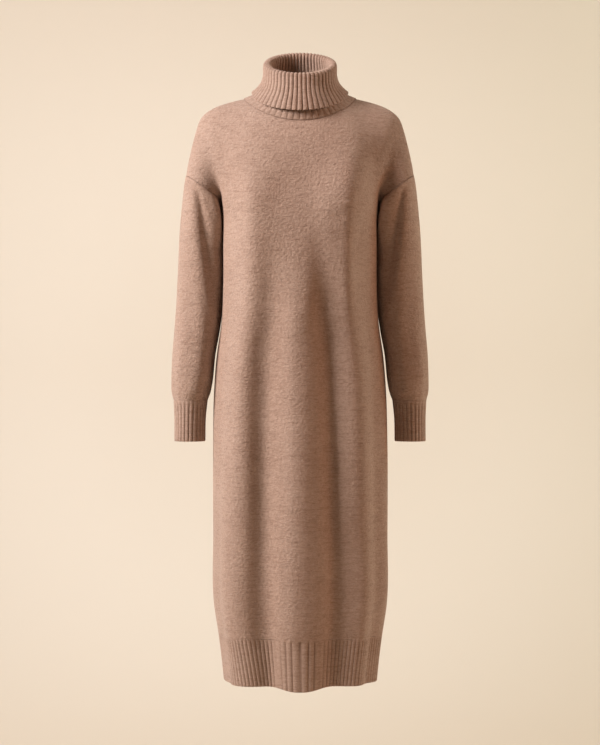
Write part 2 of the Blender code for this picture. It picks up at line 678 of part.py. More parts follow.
def read_around(shares, values):
    """Values given at even places around a ring, read anywhere between them along straight lines."""
    places = np.linspace(0, 1, len(values) + 1)
    closed = np.vstack((values, values[:1]))
    return np.stack([np.interp(shares, places, column) for column in closed.T], axis=1)


def collar_face(shares, raised, neck, neck_normals, neck_across):
    """Rings of the collar, each moved by raised towards the face that shows once it is rolled."""
    seam = read_around(shares, neck)
    rings = np.concatenate((seam[None], collar_rows(shares)))
    wide = np.concatenate((rings[:, -1:], rings, rings[:, :1]), axis=1)
    normals = unit(np.cross(np.gradient(rings, axis=0), np.gradient(wide, axis=1)[:, 1:-1]))
    if np.sum(normals[1] * rings[1] * (1, 1, 0)) > 0:
        normals = -normals
    normals[0] = -unit(read_around(shares, neck_normals))
    rings[0] += read_around(shares, neck_across) * SEAM_GAP
    return rings + normals * raised


def make_collar(neck, neck_normals, neck_across):
    """The collar stands on the neck seam, whose points, normals and way up are given."""
    full_shares, heights = rib_shares(COLLAR_RIBS, RIB_PROFILE, True)
    flat_shares, _ = rib_shares(COLLAR_RIBS, FLAT_PROFILE, True)
    seam = (neck, neck_normals, neck_across)
    plain = collar_face(flat_shares, 0.0, *seam)
    band = collar_face(full_shares, -RIB_RELIEF * heights[:, None], *seam)
    lining = collar_face(flat_shares, RIB_WALL, *seam)
    shown = collar_face(full_shares, (RIB_WALL + RIB_RELIEF * heights)[:, None], *seam)
    hidden_rings, band_rings = len(STAND_ROWS), 2
    outer = [(row, flat_shares) for row in lining[:hidden_rings]]
    outer += [(row, full_shares) for row in shown[hidden_rings:]]
    inner = [(row, full_shares) for row in band[:band_rings]]
    inner += [(row, flat_shares) for row in plain[band_rings:]]
    build_wall("roll_collar", outer, inner, True, RIB_COLOUR)


def main():
    for thing in list(bpy.data.objects):
        bpy.data.objects.remove(thing, do_unlink=True)
    neck_seam = make_body()
    make_sleeves()
    make_cuffs()
    make_hem()
    make_collar(*neck_seam)


main()
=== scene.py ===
"""Looks for a long knitted sweater dress with a roll collar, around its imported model."""

import math

import bpy
import numpy as np
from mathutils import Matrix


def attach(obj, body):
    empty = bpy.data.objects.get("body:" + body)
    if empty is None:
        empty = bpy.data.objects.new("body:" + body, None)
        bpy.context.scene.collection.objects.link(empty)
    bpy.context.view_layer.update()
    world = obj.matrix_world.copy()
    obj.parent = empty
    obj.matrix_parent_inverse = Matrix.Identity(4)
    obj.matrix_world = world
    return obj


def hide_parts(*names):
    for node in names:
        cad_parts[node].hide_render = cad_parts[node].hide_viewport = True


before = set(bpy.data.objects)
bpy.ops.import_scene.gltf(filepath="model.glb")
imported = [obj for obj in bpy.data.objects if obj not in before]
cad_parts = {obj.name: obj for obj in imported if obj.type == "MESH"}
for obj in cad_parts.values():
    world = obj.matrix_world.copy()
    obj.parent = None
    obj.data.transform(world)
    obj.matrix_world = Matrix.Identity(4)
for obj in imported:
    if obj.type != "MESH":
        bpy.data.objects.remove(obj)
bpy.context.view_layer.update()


# ---- Studio -------------------------------------------------------------------------------
# A seamless paper sweep, one sheet that is both floor and backdrop. A large soft light stands on
# the left, a weak one on the right and two light the paper. The camera is level with the middle.

CAMERA_PLACE = (0.0, -3.8, -0.5505)
CAMERA_LENS, CAMERA_SENSOR = 90.9, 36.0
FLOOR_Z, SWEEP_BACK, SWEEP_RADIUS, SWEEP_HALF, SWEEP_FRONT, SWEEP_TOP = -1.62, 2.2, 1.1, 4.0, -4.6, 3.4
# The paper's colours in the painted pool of light and at its edges: painted light and painted shade, not the
# paper's own tone
PAPER_PAINTED_LIT, PAPER_PAINTED_DIM = (0.760, 0.692, 0.590), (0.63, 0.548, 0.440)
# A painted pool of light: the spot where the sheet is painted palest, and how far from there the painted
# shade starts and ends getting darker
PAPER_PAINTED_LIGHT_CENTRE, PAPER_PAINTED_FALLOFF = (-0.05, 2.2, -0.60), (0.6, 1.8)
# name, degrees to the left of the camera's way, degrees up, distance, aim, size, watts, colour
SOFT_LIGHTS = (
    ("key", 68, 36, 3.4, (0.0, 0.0, -0.50), (1.1, 1.8), 191, (1.0, 0.90, 0.86)),
    ("fill", -78, 25, 3.4, (0.0, 0.0, -0.50), (2.0, 2.6), 48, (1.0, 0.56, 0.36)),
    ("paper_left", 54, 18, 2.87, (-0.4, 2.2, -0.3), (1.2, 2.6), 17, (0.30, 0.70, 1.0)),
    ("paper_right", -53, 20, 2.66, (0.8, 2.2, 0.0), (1.2, 2.6), 45, (0.72, 1.0, 0.98)),
)
ROOM_LIGHT, ROOM_STRENGTH = (1.0, 0.62, 0.42), 0.055
SWEEP_STEPS = 24  # round the sweep's bend

lens = bpy.data.cameras.new("camera")
lens.lens, lens.sensor_width = CAMERA_LENS, CAMERA_SENSOR
camera = bpy.data.objects.new("camera", lens)
camera.location = CAMERA_PLACE
camera.rotation_euler = (math.pi / 2, 0.0, 0.0)
bpy.context.collection.objects.link(camera)
bpy.context.scene.camera = camera


def soft_light(name, left, up, distance, aim, size, watts, colour):
    """A lamp in a soft box, turned towards its aim."""
    lamp = bpy.data.lights.new(name, "AREA")
    lamp.shape, lamp.size, lamp.size_y = "RECTANGLE", *size
    lamp.energy, lamp.color = watts, colour
    light = bpy.data.objects.new(name, lamp)
    left, up = math.radians(left), math.radians(up)
    away = np.array((-math.sin(left) * math.cos(up), -math.cos(left) * math.cos(up), math.sin(up)))
    light.location = np.array(aim) + away * distance
    light.rotation_euler = (math.pi / 2 - up, 0.0, -left)
    bpy.context.collection.objects.link(light)


def wire(node, **inputs):
    """Sets or links a node's inputs: Base_Color is its "Base Color", and _0 its first one."""
    for key, value in inputs.items():
        socket = node.inputs[int(key[1:])] if key[0] == "_" else node.inputs[key.replace("_", " ")]
        if isinstance(value, bpy.types.NodeSocket):
            node.id_data.links.new(value, socket)
        else:
            socket.default_value = value
    return node


def add_node(tree, kind, settings=(), **inputs):
    """A new node in a tree, with its settings made and its inputs set or linked."""
    made = tree.nodes.new(kind)
    for key, value in settings:
        setattr(made, key, value)
    return wire(made, **inputs)


def new_material(name, **shader_inputs):
    """A material with its shader's inputs set."""
    made = bpy.data.materials.new(name)
    made.use_nodes = True
    wire(made.node_tree.nodes["Principled BSDF"], **shader_inputs)
    return made


SMOOTHSTEP = (("interpolation_type", "SMOOTHSTEP"),)
COLOUR_MIX = (("data_type", "RGBA"),)  # its inputs 6 and 7 are the two colours, and output 2 the mix

for row in SOFT_LIGHTS:
    soft_light(*row)

room = bpy.data.worlds.new("room")
room.use_nodes = True
wire(room.node_tree.nodes["Background"], Color=(*ROOM_LIGHT, 1.0), Strength=ROOM_STRENGTH)
bpy.context.scene.world = room
bpy.context.scene.view_settings.view_transform = "Standard"

sweep_line = [(SWEEP_FRONT, FLOOR_Z)]
for step in range(SWEEP_STEPS + 1):
    turn = math.pi / 2 * step / SWEEP_STEPS
    forward, up = 1 - math.sin(turn), 1 - math.cos(turn)
    sweep_line.append((SWEEP_BACK - SWEEP_RADIUS * forward, FLOOR_Z + SWEEP_RADIUS * up))
sweep_line += [(SWEEP_BACK, SWEEP_TOP)]
sweep_points = [(x, y, z) for y, z in sweep_line for x in (-SWEEP_HALF, SWEEP_HALF)]
sweep_faces = [(2 * k, 2 * k + 1, 2 * k + 3, 2 * k + 2) for k in range(len(sweep_line) - 1)]
sweep_mesh = bpy.data.meshes.new("paper_sweep")
sweep_mesh.from_pydata(sweep_points, [], sweep_faces)
sweep_mesh.shade_smooth()
paper = new_material("paper", Roughness=0.95, Specular_IOR_Level=0.1)
tree = paper.node_tree
place = add_node(tree, "ShaderNodeTexCoord").outputs["Object"]
from_spot = add_node(tree, "ShaderNodeVectorMath", (("operation", "DISTANCE"),), _0=place, _1=PAPER_PAINTED_LIGHT_CENTRE)
# Painted light: the paper is painted palest round one spot and darker away from it
fading = add_node(tree, "ShaderNodeMapRange", SMOOTHSTEP, Value=from_spot.outputs["Value"])
wire(fading, From_Min=PAPER_PAINTED_FALLOFF[0], From_Max=PAPER_PAINTED_FALLOFF[1])
shade = add_node(tree, "ShaderNodeMix", COLOUR_MIX, Factor=fading.outputs["Result"])
wire(shade, _6=(*PAPER_PAINTED_LIT, 1.0), _7=(*PAPER_PAINTED_DIM, 1.0))
wire(tree.nodes["Principled BSDF"], Base_Color=shade.outputs[2])
sweep_mesh.materials.append(paper)
paper_sweep = bpy.data.objects.new("paper_sweep", sweep_mesh)
bpy.context.collection.objects.link(paper_sweep)


# ---- Front and back panels ----------------------------------------------------------------
# Two panels of fine plain knit in a heathered wool, brushed a little so that the stitches
# close up. They are linked at the shoulders and sides and hang in soft folds from the chest.

KNIT_WALL, SEAM_GAP = 0.0025, 0.0003  # the cloth's thickness; between two pieces at a seam
SHARP_FROM = math.radians(70)  # an edge between two faces is shaded sharp from this angle on
NECK_STEPS, SHOULDER_STEPS, ARMHOLE_ROWS, SIDE_ROWS = 32, 32, 76, 154
NECK_FRONT, NECK_BACK = (-0.086, -0.052), (0.085, -0.002)  # y, z of the neck seam at the centre
NECK_ROUNDNESS = 0.5
# The shoulder seam, from the neck point to where the sleeve's top meets the body: x, y, z
SHOULDER_LINE = (
    (0.1120, 0.010, 0.0040),
    (0.1400, 0.008, -0.0035),
    (0.1660, 0.006, -0.0125),
    (0.1870, 0.004, -0.0245),
    (0.2010, 0.003, -0.0390),
    (0.2100, 0.002, -0.0630),
    (0.2210, 0.001, -0.1070),
    (0.2305, 0.000, -0.1540),
)
ARMPIT = (0.1575, 0.000, -0.2060)
ARMHOLE_DEPTH = 0.060  # half its width from front to back
ARMPIT_CENTRE_Z = (-0.222, -0.216)  # front and back centre of the line from armpit to armpit
ARMHOLE_LEAN = (math.radians(24), math.radians(22), math.radians(53))  # at the drop, front, pit
ARMHOLE_PULL, ARMHOLE_TURN = 2.5, 24  # powers: how a panel runs, and turns, into the armhole
# The cloth below a neck point is evened out: how far, how far beside it (both shares of a half
# panel), and the share of the way down the armhole where that has its full strength
SOFTENING, SOFTENED_WIDTH, SOFTENED_BY = 0.08, 0.30, 0.25
ROUND_SPREAD = 2 / 3  # how far one round of evening out reaches, squared, in columns
NECK_SLOPE = ((-0.090, -0.150), (0.070, -0.150))  # y, z of the way down from the neck, front and back
# The cloth's way outwards at the neck points, the share of a half panel over which it turns to
# leave the seam level, and the tangent length of a quarter turn over its radius
NECK_SPREAD, SHOULDER_TURN, QUARTER_TURN = 0.09, 0.85, 1.66
BODY_POWER = 0.78  # how square the body's sections are; 1 is an ellipse
HEM_SEAM_Z, HEM_Z = -1.075, -1.168
SIDE_SPREAD, ARMPIT_DIP_POWER = 1.25, 4  # how close rows lie below the armpit; how soon they are level
FOLD_END_POWER = 8  # how close to an armhole the folds run
OUTWARD_LIFT = 0.03  # tells the outside of the cloth on a shoulder, where it faces up
FOLDS_FULL_BY = 0.2  # share of the armhole over which folds grow from the shoulder down
# The body's section at each height: z, side_x, side_y, front_y, back_y
LEVELS = (
    (-1.180, 0.1530, 0.012, -0.116, 0.110),
    (-1.130, 0.1580, 0.012, -0.118, 0.112),
    (-1.075, 0.1650, 0.012, -0.121, 0.116),
    (-1.020, 0.1735, 0.012, -0.124, 0.119),
    (-0.870, 0.1755, 0.014, -0.126, 0.123),
    (-0.700, 0.1757, 0.016, -0.127, 0.127),
    (-0.600, 0.1745, 0.018, -0.125, 0.126),
    (-0.520, 0.1690, 0.020, -0.123, 0.119),
    (-0.450, 0.1590, 0.020, -0.123, 0.110),
    (-0.380, 0.1535, 0.020, -0.126, 0.107),
    (-0.300, 0.1530, 0.020, -0.131, 0.109),
    (-0.250, 0.1532, 0.017, -0.133, 0.114),
    (-0.222, 0.1550, 0.007, -0.132, 0.117),
    (-0.206, 0.1575, 0.000, -0.131, 0.119),
)
# Soft folds down the body. Angles are from the centre front, towards the wearer's left:
# top_z, full_z, top_angle, hem_angle, width, height
FOLDS = (
    (-0.13, -0.24, -31, -38, 13, 0.0095),
    (-0.23, -0.60, -17, -17, 10, -0.0120),
    (-0.24, -0.46, 2, 0, 11, 0.0115),
    (-0.21, -0.50, 13, 19, 10, -0.0115),
    (-0.13, -0.26, 30, 39, 12, 0.0085),
    (-0.34, -0.60, 54, 56, 9, -0.0050),
    (-0.34, -0.60, -60, -60, 10, -0.0045),
    (-0.50, -0.75, 74, 73, 9, 0.0040),
    (-0.62, -0.80, -54, -52, 11, 0.0080),
    (-0.78, -0.92, 33, 32, 9, -0.0050),
    (-0.22, -0.50, 122, 128, 13, 0.0080),
    (-0.26, -0.55, 146, 149, 11, -0.0075),
    (-0.20, -0.46, 170, 173, 14, 0.0085),
    (-0.26, -0.48, 195, 197, 11, -0.0080),
    (-0.24, -0.60, 219, 222, 13, 0.0075),
    (-0.40, -0.75, 244, 242, 10, -0.0050),
)
# Short soft folds over the bust and below it, each fading both up and down from its middle:
# middle_z, angle, width, reach, height
SHORT_FOLDS = (
    (-0.187, 38, 18, 0.085, 0.0135),
    (-0.190, 23, 13, 0.065, 0.0100),
    (-0.178, -5, 13, 0.060, -0.0055),
    (-0.350, 29, 8, 0.110, 0.0085),
)
# Next to each arm a panel turns in a ridge, with a hollow between it and the armhole. By the
# height of the panel's edge: edge_z, ridge_angle, ridge_height, hollow_angle, hollow_depth
BESIDE_ARM = (
    (-0.520, 74, 0.0000, 84, 0.000),
    (-0.450, 74, 0.0030, 84, 0.000),
    (-0.380, 74, 0.0060, 84, 0.000),
    (-0.300, 73, 0.0065, 84, 0.000),
    (-0.240, 73, 0.0065, 84, 0.000),
    (-0.206, 73, 0.0065, 84, 0.006),
    (-0.198, 72, 0.0060, 82, 0.010),
    (-0.184, 71, 0.0050, 80, 0.010),
    (-0.172, 70, 0.0040, 78, 0.008),
    (-0.161, 68, 0.0020, 76, 0.004),
    (-0.154, 66, 0.0000, 74, 0.000),
)
RIDGE_WIDTH, HOLLOW_WIDTH = 8.0, 6.5  # degrees
# The cloth beside the arm is evened out between these shares of a half panel and of an armhole
SETTLED_ACROSS, SETTLED_FROM, SETTLED_TO = (0.55, 0.72), (0.05, 0.30), (1.0, 1.35)
SETTLING_ROUNDS = 22
EVENING_ROUNDS = 20  # for the directions in which folds rise, so that none steps by the armpits
METRES_A_DEGREE = 0.0026  # round the body
# A crease bows by a share of its length, and fades over so many of its widths past its ends
CREASE_BOW, LARGEST_BOW, CREASE_FADING, CREASE_END_SHARE = 0.15, 0.016, 1.6, 0.55
# Creases in the panels, as soft ridges (+) and troughs (-) between two places, each an angle from
# the centre front and a height: angle_1, z_1, angle_2, z_2, width in m, height
CREASES = (
    (14, -0.225, 17, -0.430, 0.021, 0.0075),
    (1, -0.300, 0, -0.460, 0.014, 0.0034),
    (-2, -0.440, -2, -1.060, 0.012, 0.0054),
    (-17, -0.520, -17, -1.050, 0.011, -0.0018),
    (10, -0.500, 11, -1.080, 0.012, 0.0030),
    (-24, -0.500, -24, -1.080, 0.013, -0.0056),
    (11, -0.420, 16, -1.080, 0.013, -0.0070),
    (6, -0.620, 5, -1.060, 0.006, 0.0014),
    (-10, -0.860, -10, -1.140, 0.007, 0.0016),
    (90, -0.210, 90, -0.240, 0.018, 0.0036),
    (-90, -0.210, -90, -0.240, 0.018, 0.0036),
    (-46, -0.210, -26, -0.262, 0.011, -0.0016),
    (-50, -0.236, -33, -0.330, 0.009, -0.0012),
    (44, -0.200, 22, -0.248, 0.012, -0.0017),
    (50, -0.232, 34, -0.318, 0.010, -0.0013),
    (-20, -0.176, 6, -0.210, 0.016, -0.0014),
    (-8, -0.300, 9, -0.338, 0.014, 0.0010),
    (-30, -0.420, -12, -0.452, 0.012, 0.0010),
    (12, -0.392, 28, -0.436, 0.012, -0.0010),
    (-26, -0.640, -9, -0.676, 0.015, 0.0011),
    (10, -0.720, 30, -0.752, 0.014, -0.0011),
    (-36, -0.905, -14, -0.930, 0.015, 0.0012),
    (6, -0.980, 26, -1.004, 0.013, -0.0010),
    (134, -0.204, 158, -0.262, 0.012, -0.0017),
    (128, -0.232, 146, -0.330, 0.010, -0.0013),
    (226, -0.206, 203, -0.258, 0.012, -0.0016),
    (232, -0.236, 214, -0.320, 0.010, -0.0012),
    (166, -0.420, 190, -0.470, 0.018, -0.0018),
    (150, -0.512, 176, -0.548, 0.016, 0.0014),
    (186, -0.570, 214, -0.612, 0.016, -0.0014),
    (140, -0.760, 164, -0.792, 0.015, 0.0012),
    (196, -0.900, 220, -0.926, 0.015, -0.0012),
)


def curve(t, start, leaving, end, arriving, step=1):
    """A smooth curve from start to end, read at t, with its slopes where it leaves and arrives."""
    return (
        (2 * t**3 - 3 * t**2 + 1) * start
        + (t**3 - 2 * t**2 + t) * step * leaving
        + (3 * t**2 - 2 * t**3) * end
        + (t**3 - t**2) * step * arriving
    )


def smooth(table_at, table, at):
    """A table's rows read at any places between them, along smooth curves."""
    table_at, table = np.asarray(table_at, float), np.asarray(table, float)
    slopes = np.gradient(table, table_at, axis=0)
    k = np.clip(np.searchsorted(table_at, at) - 1, 0, len(table_at) - 2)
    step = table_at[k + 1] - table_at[k]
    t = np.clip((at - table_at[k]) / step, 0, 1)
    return curve(t, table[k], slopes[k], table[k + 1], slopes[k + 1], step)


def level(z):
    """side_x, side_y, front_y and back_y of the body's section at a height."""
    table = np.array(LEVELS)
    return smooth(table[:, 0], table[:, 1:], z)


def unit(vectors):
    """Vectors brought to a length of one."""
    return vectors / np.linalg.norm(vectors, axis=-1, keepdims=True)


def bell(distance, width):
    """1 at no distance, and less and less away from there."""
    return np.exp(-((distance / width) ** 2))


def ramp(value, start, full):
    """0 up to the start, 1 from the full value on, and smooth between them."""
    t = np.clip((value - start) / (full - start), 0, 1)
    return t * t * (3 - 2 * t)


def around(angle):
    """An angle in degrees, brought within half a turn of zero."""
    return (angle + 180) % 360 - 180


def armhole_point(psi):
    """The left armhole: psi is 0 at the dropped shoulder, half a turn at the armpit, front first."""
    share = (1 - math.cos(psi)) / 2
    point = np.array(SHOULDER_LINE[-1]) * (1 - share) + np.array(ARMPIT) * share
    return point - (0, ARMHOLE_DEPTH * math.sin(psi), 0)


def armhole_directions(psi):
    """(normal, across): out of the cloth at the armhole, and across the seam to the sleeve."""
    up = unit(np.array(SHOULDER_LINE[-1]) - ARMPIT)
    along_arm = np.array((up[2], 0.0, -up[0]))
    radial = up * math.cos(psi) + np.array((0.0, -1.0, 0.0)) * math.sin(psi)
    at_drop, at_front, at_pit = ARMHOLE_LEAN
    side = math.sin(psi) ** 2
    lean = (at_drop if math.cos(psi) > 0 else at_pit) * (1 - side) + at_front * side
    normal = radial * math.cos(lean) + along_arm * math.sin(lean)
    across = -radial * math.sin(lean) + along_arm * math.cos(lean)
    return normal, across


def half_row(shares, centre, end, roundness, power=1.0):
    """Points from a panel's centre to its side, along a quarter turn. A lower power is squarer."""
    angle = np.asarray(shares)[:, None] * math.pi / 2
    sideways = np.sin(angle) ** power
    back = 1 - np.maximum(np.cos(angle), 0) ** power
    rise = roundness * sideways**2 + (1 - roundness) * back
    x = centre[0] + (end[0] - centre[0]) * sideways
    y = centre[1] + (end[1] - centre[1]) * back
    z = centre[2] + (end[2] - centre[2]) * rise
    return np.hstack((x, y, z))


def body_fold(angle, z):
    """How far the folds move the cloth outwards, at an angle from the centre front and a height."""
    moved = np.zeros_like(angle)
    for top_z, full_z, top_angle, hem_angle, width, height in FOLDS:
        share = ramp(-z, -top_z, -HEM_SEAM_Z)
        middle = top_angle + (hem_angle - top_angle) * share
        moved += height * ramp(-z, -top_z, -full_z) * bell(around(angle - middle), width)
    for middle_z, middle, width, reach, height in SHORT_FOLDS:
        moved += height * bell(z - middle_z, reach) * bell(around(angle - middle), width)
    return moved


def body_creases(angle, z):
    """How far the creases move the cloth. Places are compared in metres, along the cloth and down."""
    moved = np.zeros_like(angle)
    for angle_1, z_1, angle_2, z_2, width, height in CREASES:
        run = np.array(((angle_2 - angle_1) * METRES_A_DEGREE, z_2 - z_1))
        length = np.linalg.norm(run)
        from_1 = around(angle - angle_1) * METRES_A_DEGREE, z - z_1
        along = (from_1[0] * run[0] + from_1[1] * run[1]) / length**2
        off = (from_1[0] * run[1] - from_1[1] * run[0]) / length
        past = np.maximum(np.abs(along - 0.5) - 0.5, 0) * length
        bowed = off + min(CREASE_BOW * length, LARGEST_BOW) * (along - along**2)
        middle = np.sin(math.pi * np.clip(along, 0, 1)) ** 2
        fuller = CREASE_END_SHARE + (1 - CREASE_END_SHARE) * middle
        moved += height * fuller * bell(bowed, width) * bell(past, width * CREASE_FADING)
    return moved


def beside_arm(from_centre, edge_z):
    """How far the ridge and the hollow next to an arm move the cloth outwards."""
    table = np.array(BESIDE_ARM)
    ridge_angle, ridge, hollow_angle, depth = smooth(table[:, 0], table[:, 1:], edge_z)
    moved = ridge * bell(from_centre - ridge_angle, RIDGE_WIDTH)
    return moved - depth * bell(from_centre - hollow_angle, HOLLOW_WIDTH)


def panel_half(shares, downs, side_downs, is_back):
    """Half of a panel, centre to side: from its neck and shoulder to the hem rib."""
    y, z = NECK_BACK if is_back else NECK_FRONT
    neck = half_row(shares[shares <= 0.5] * 2, (0.0, y, z), SHOULDER_LINE[0], NECK_ROUNDNESS)
    rows = range(len(SHOULDER_LINE))
    shoulder = [smooth(rows, SHOULDER_LINE, at) for at in (shares[shares > 0.5] * 2 - 1) * rows[-1]]
    top = np.vstack((neck, shoulder))
    _, _, front_y, back_y = level(ARMPIT[2])
    centre = (0.0, back_y if is_back else front_y, ARMPIT_CENTRE_Z[is_back])
    bottom = half_row(shares, centre, ARMPIT, 1.0, BODY_POWER)
    drop = bottom - top
    over = ramp(shares, 0, SHOULDER_TURN)[:, None]
    leaving = np.array((0.0, *NECK_SLOPE[is_back])) * (1 - over) + drop * (0, QUARTER_TURN, 0) * over
    round_neck = np.sin(math.pi * np.minimum(shares, 0.5))
    leaving[:, 0] += NECK_SPREAD * round_neck * (1 - ramp(shares, 0.5, SHOULDER_TURN))
    arriving = np.zeros_like(drop)
    arriving[:, 2] = drop[:, 2] * (1 + (QUARTER_TURN - 1) * over[:, 0])
    pull = (np.maximum(shares * 2 - 1, 0) ** ARMHOLE_PULL)[:, None]
    half = []
    for t in downs:
        falling = curve(t, top, leaving, bottom, arriving)
        psi = t * math.pi * (-1 if is_back else 1)
        along_arm = top + drop * (1 - math.cos(psi)) / 2
        along_arm[:, 1] -= ARMHOLE_DEPTH * math.sin(psi)
        half.append(falling * (1 - pull) + along_arm * pull)
    half = np.array(half)
    strength = ramp(downs, 0, SOFTENED_BY)[:, None] * bell(shares - 0.5, SOFTENED_WIDTH)
    for _ in range(round((SOFTENING * (len(shares) - 1)) ** 2 / ROUND_SPREAD)):
        change = half[:, :-2] + half[:, 2:] - 2 * half[:, 1:-1]
        half[:, 1:-1] += change / 3 * strength[:, 1:-1, None]
    half = list(half)
    dip = ARMPIT_CENTRE_Z[is_back] - ARMPIT[2]
    for t in side_downs:
        z = ARMPIT[2] + (HEM_SEAM_Z - ARMPIT[2]) * t**SIDE_SPREAD
        side_x, side_y, front_y, back_y = level(z)
        centre = (0.0, back_y if is_back else front_y, z + dip * (1 - t) ** ARMPIT_DIP_POWER)
        half.append(half_row(shares, centre, (side_x, side_y, z), 1.0, BODY_POWER))
    return np.array(half)


def grid_normals(points, before, after, above, outward):
    """Normals of a grid from its points and the points around it, turned to face outward."""
    wide = np.concatenate((before[:, None], points, after[:, None]), axis=1)
    along = np.gradient(wide, axis=1)[:, 1:-1]
    down = np.gradient(np.concatenate((above[None], points)), axis=0)[1:]
    normals = unit(np.cross(along, down))
    return normals * (-1 if np.sum(normals * outward) < 0 else 1)


def settle(points, strength):
    """Evens out a grid of points, each by its own strength. The border keeps its place."""
    for _ in range(SETTLING_ROUNDS):
        beside = points[:-2, 1:-1] + points[2:, 1:-1] + points[1:-1, :-2] + points[1:-1, 2:]
        points[1:-1, 1:-1] += (beside / 4 - points[1:-1, 1:-1]) * strength[1:-1, 1:-1, None]


def body_panels():
    """[(points, normals)] of the front and the back, folds and creases included."""
    shares = np.linspace(0, 1, NECK_STEPS + SHOULDER_STEPS + 1)
    downs = np.linspace(0, 1, ARMHOLE_ROWS + 1)
    side_downs = np.linspace(0, 1, SIDE_ROWS + 1)[1:]
    across = np.concatenate((-shares[:0:-1], shares))
    on_shoulder = np.abs(across) >= 0.5 - 1e-9
    panels, angles = [], []
    for is_back in (False, True):
        half = panel_half(shares, downs, side_downs, is_back)
        panels.append(np.concatenate((half[:, :0:-1] * (-1, 1, 1), half), axis=1))
        angles.append(180 - 90 * across if is_back else 90 * across)

    def normals_of(which):
        one, other = panels[which], panels[1 - which]
        side = np.arange(len(one))[:, None] > ARMHOLE_ROWS
        before = np.where(side, other[:, 1], 2 * one[:, 0] - one[:, 1])
        after = np.where(side, other[:, -2], 2 * one[:, -1] - one[:, -2])
        above = np.where(on_shoulder[:, None], other[1], 2 * one[0] - one[1])
        normals = grid_normals(one, before, after, above, one * (1, 1, 0) + (0, 0, OUTWARD_LIFT))
        for row, down in enumerate(downs):
            normal, _ = armhole_directions(down * math.pi * (-1 if which else 1))
            blend = np.abs(across)[:, None] ** ARMHOLE_TURN
            signed = normal * np.where(across[:, None] < 0, (-1, 1, 1), (1, 1, 1))
            normals[row] = unit(normals[row] * (1 - blend) + signed * blend)
        return normals

    bases = [normals_of(0), normals_of(1)]
    for normals in bases:
        for _ in range(EVENING_ROUNDS):
            normals[1:-1] = unit(normals[:-2] + 2 * normals[1:-1] + normals[2:])
    for which, (points, angle) in enumerate(zip(panels, angles)):
        from_centre = np.abs(around(180 - angle)) if which else np.abs(angle)
        for row in range(len(points)):
            edge = 1 - (from_centre / 90) ** FOLD_END_POWER
            moved = body_fold(angle, points[row, :, 2]) + body_creases(angle, points[row, :, 2])
            if row <= ARMHOLE_ROWS:
                moved *= edge
            moved += beside_arm(from_centre, points[row, -1, 2]) * edge
            points[row] += bases[which][row] * moved[:, None] * ramp(row, 0, ARMHOLE_ROWS * FOLDS_FULL_BY)
    beside = ramp(np.abs(across), *SETTLED_ACROSS)[None]
    rows_down = np.arange(len(panels[0])) / ARMHOLE_ROWS
    strength = beside * (ramp(rows_down, *SETTLED_FROM) * (1 - ramp(rows_down, *SETTLED_TO)))[:, None]
    for points in panels:
        settle(points, strength)
    normals = [normals_of(0), normals_of(1)]
    for column in (0, -1):
        seam = (panels[0][ARMHOLE_ROWS + 1 :, column] + panels[1][ARMHOLE_ROWS + 1 :, column]) / 2
        shared = unit(normals[0][ARMHOLE_ROWS + 1 :, column] + normals[1][ARMHOLE_ROWS + 1 :, column])
        for which in (0, 1):
            panels[which][ARMHOLE_ROWS + 1 :, column] = seam
            normals[which][ARMHOLE_ROWS + 1 :, column] = shared
    shared = unit(normals[0][0, on_shoulder] + normals[1][0, on_shoulder])
    normals[0][0, on_shoulder] = normals[1][0, on_shoulder] = shared
    return list(zip(panels, normals))


def leave_values(mesh, **fields):
    """Leaves arrays of numbers or of vectors on a mesh's points, each under its name."""
    for label, values in fields.items():
        is_vector = values.size == 3 * len(mesh.vertices)
        kind, field = ("FLOAT_VECTOR", "vector") if is_vector else ("FLOAT", "value")
        attribute = mesh.attributes.new(label, kind, "POINT")
        attribute.data.foreach_set(field, values.astype(np.float32).reshape(-1))


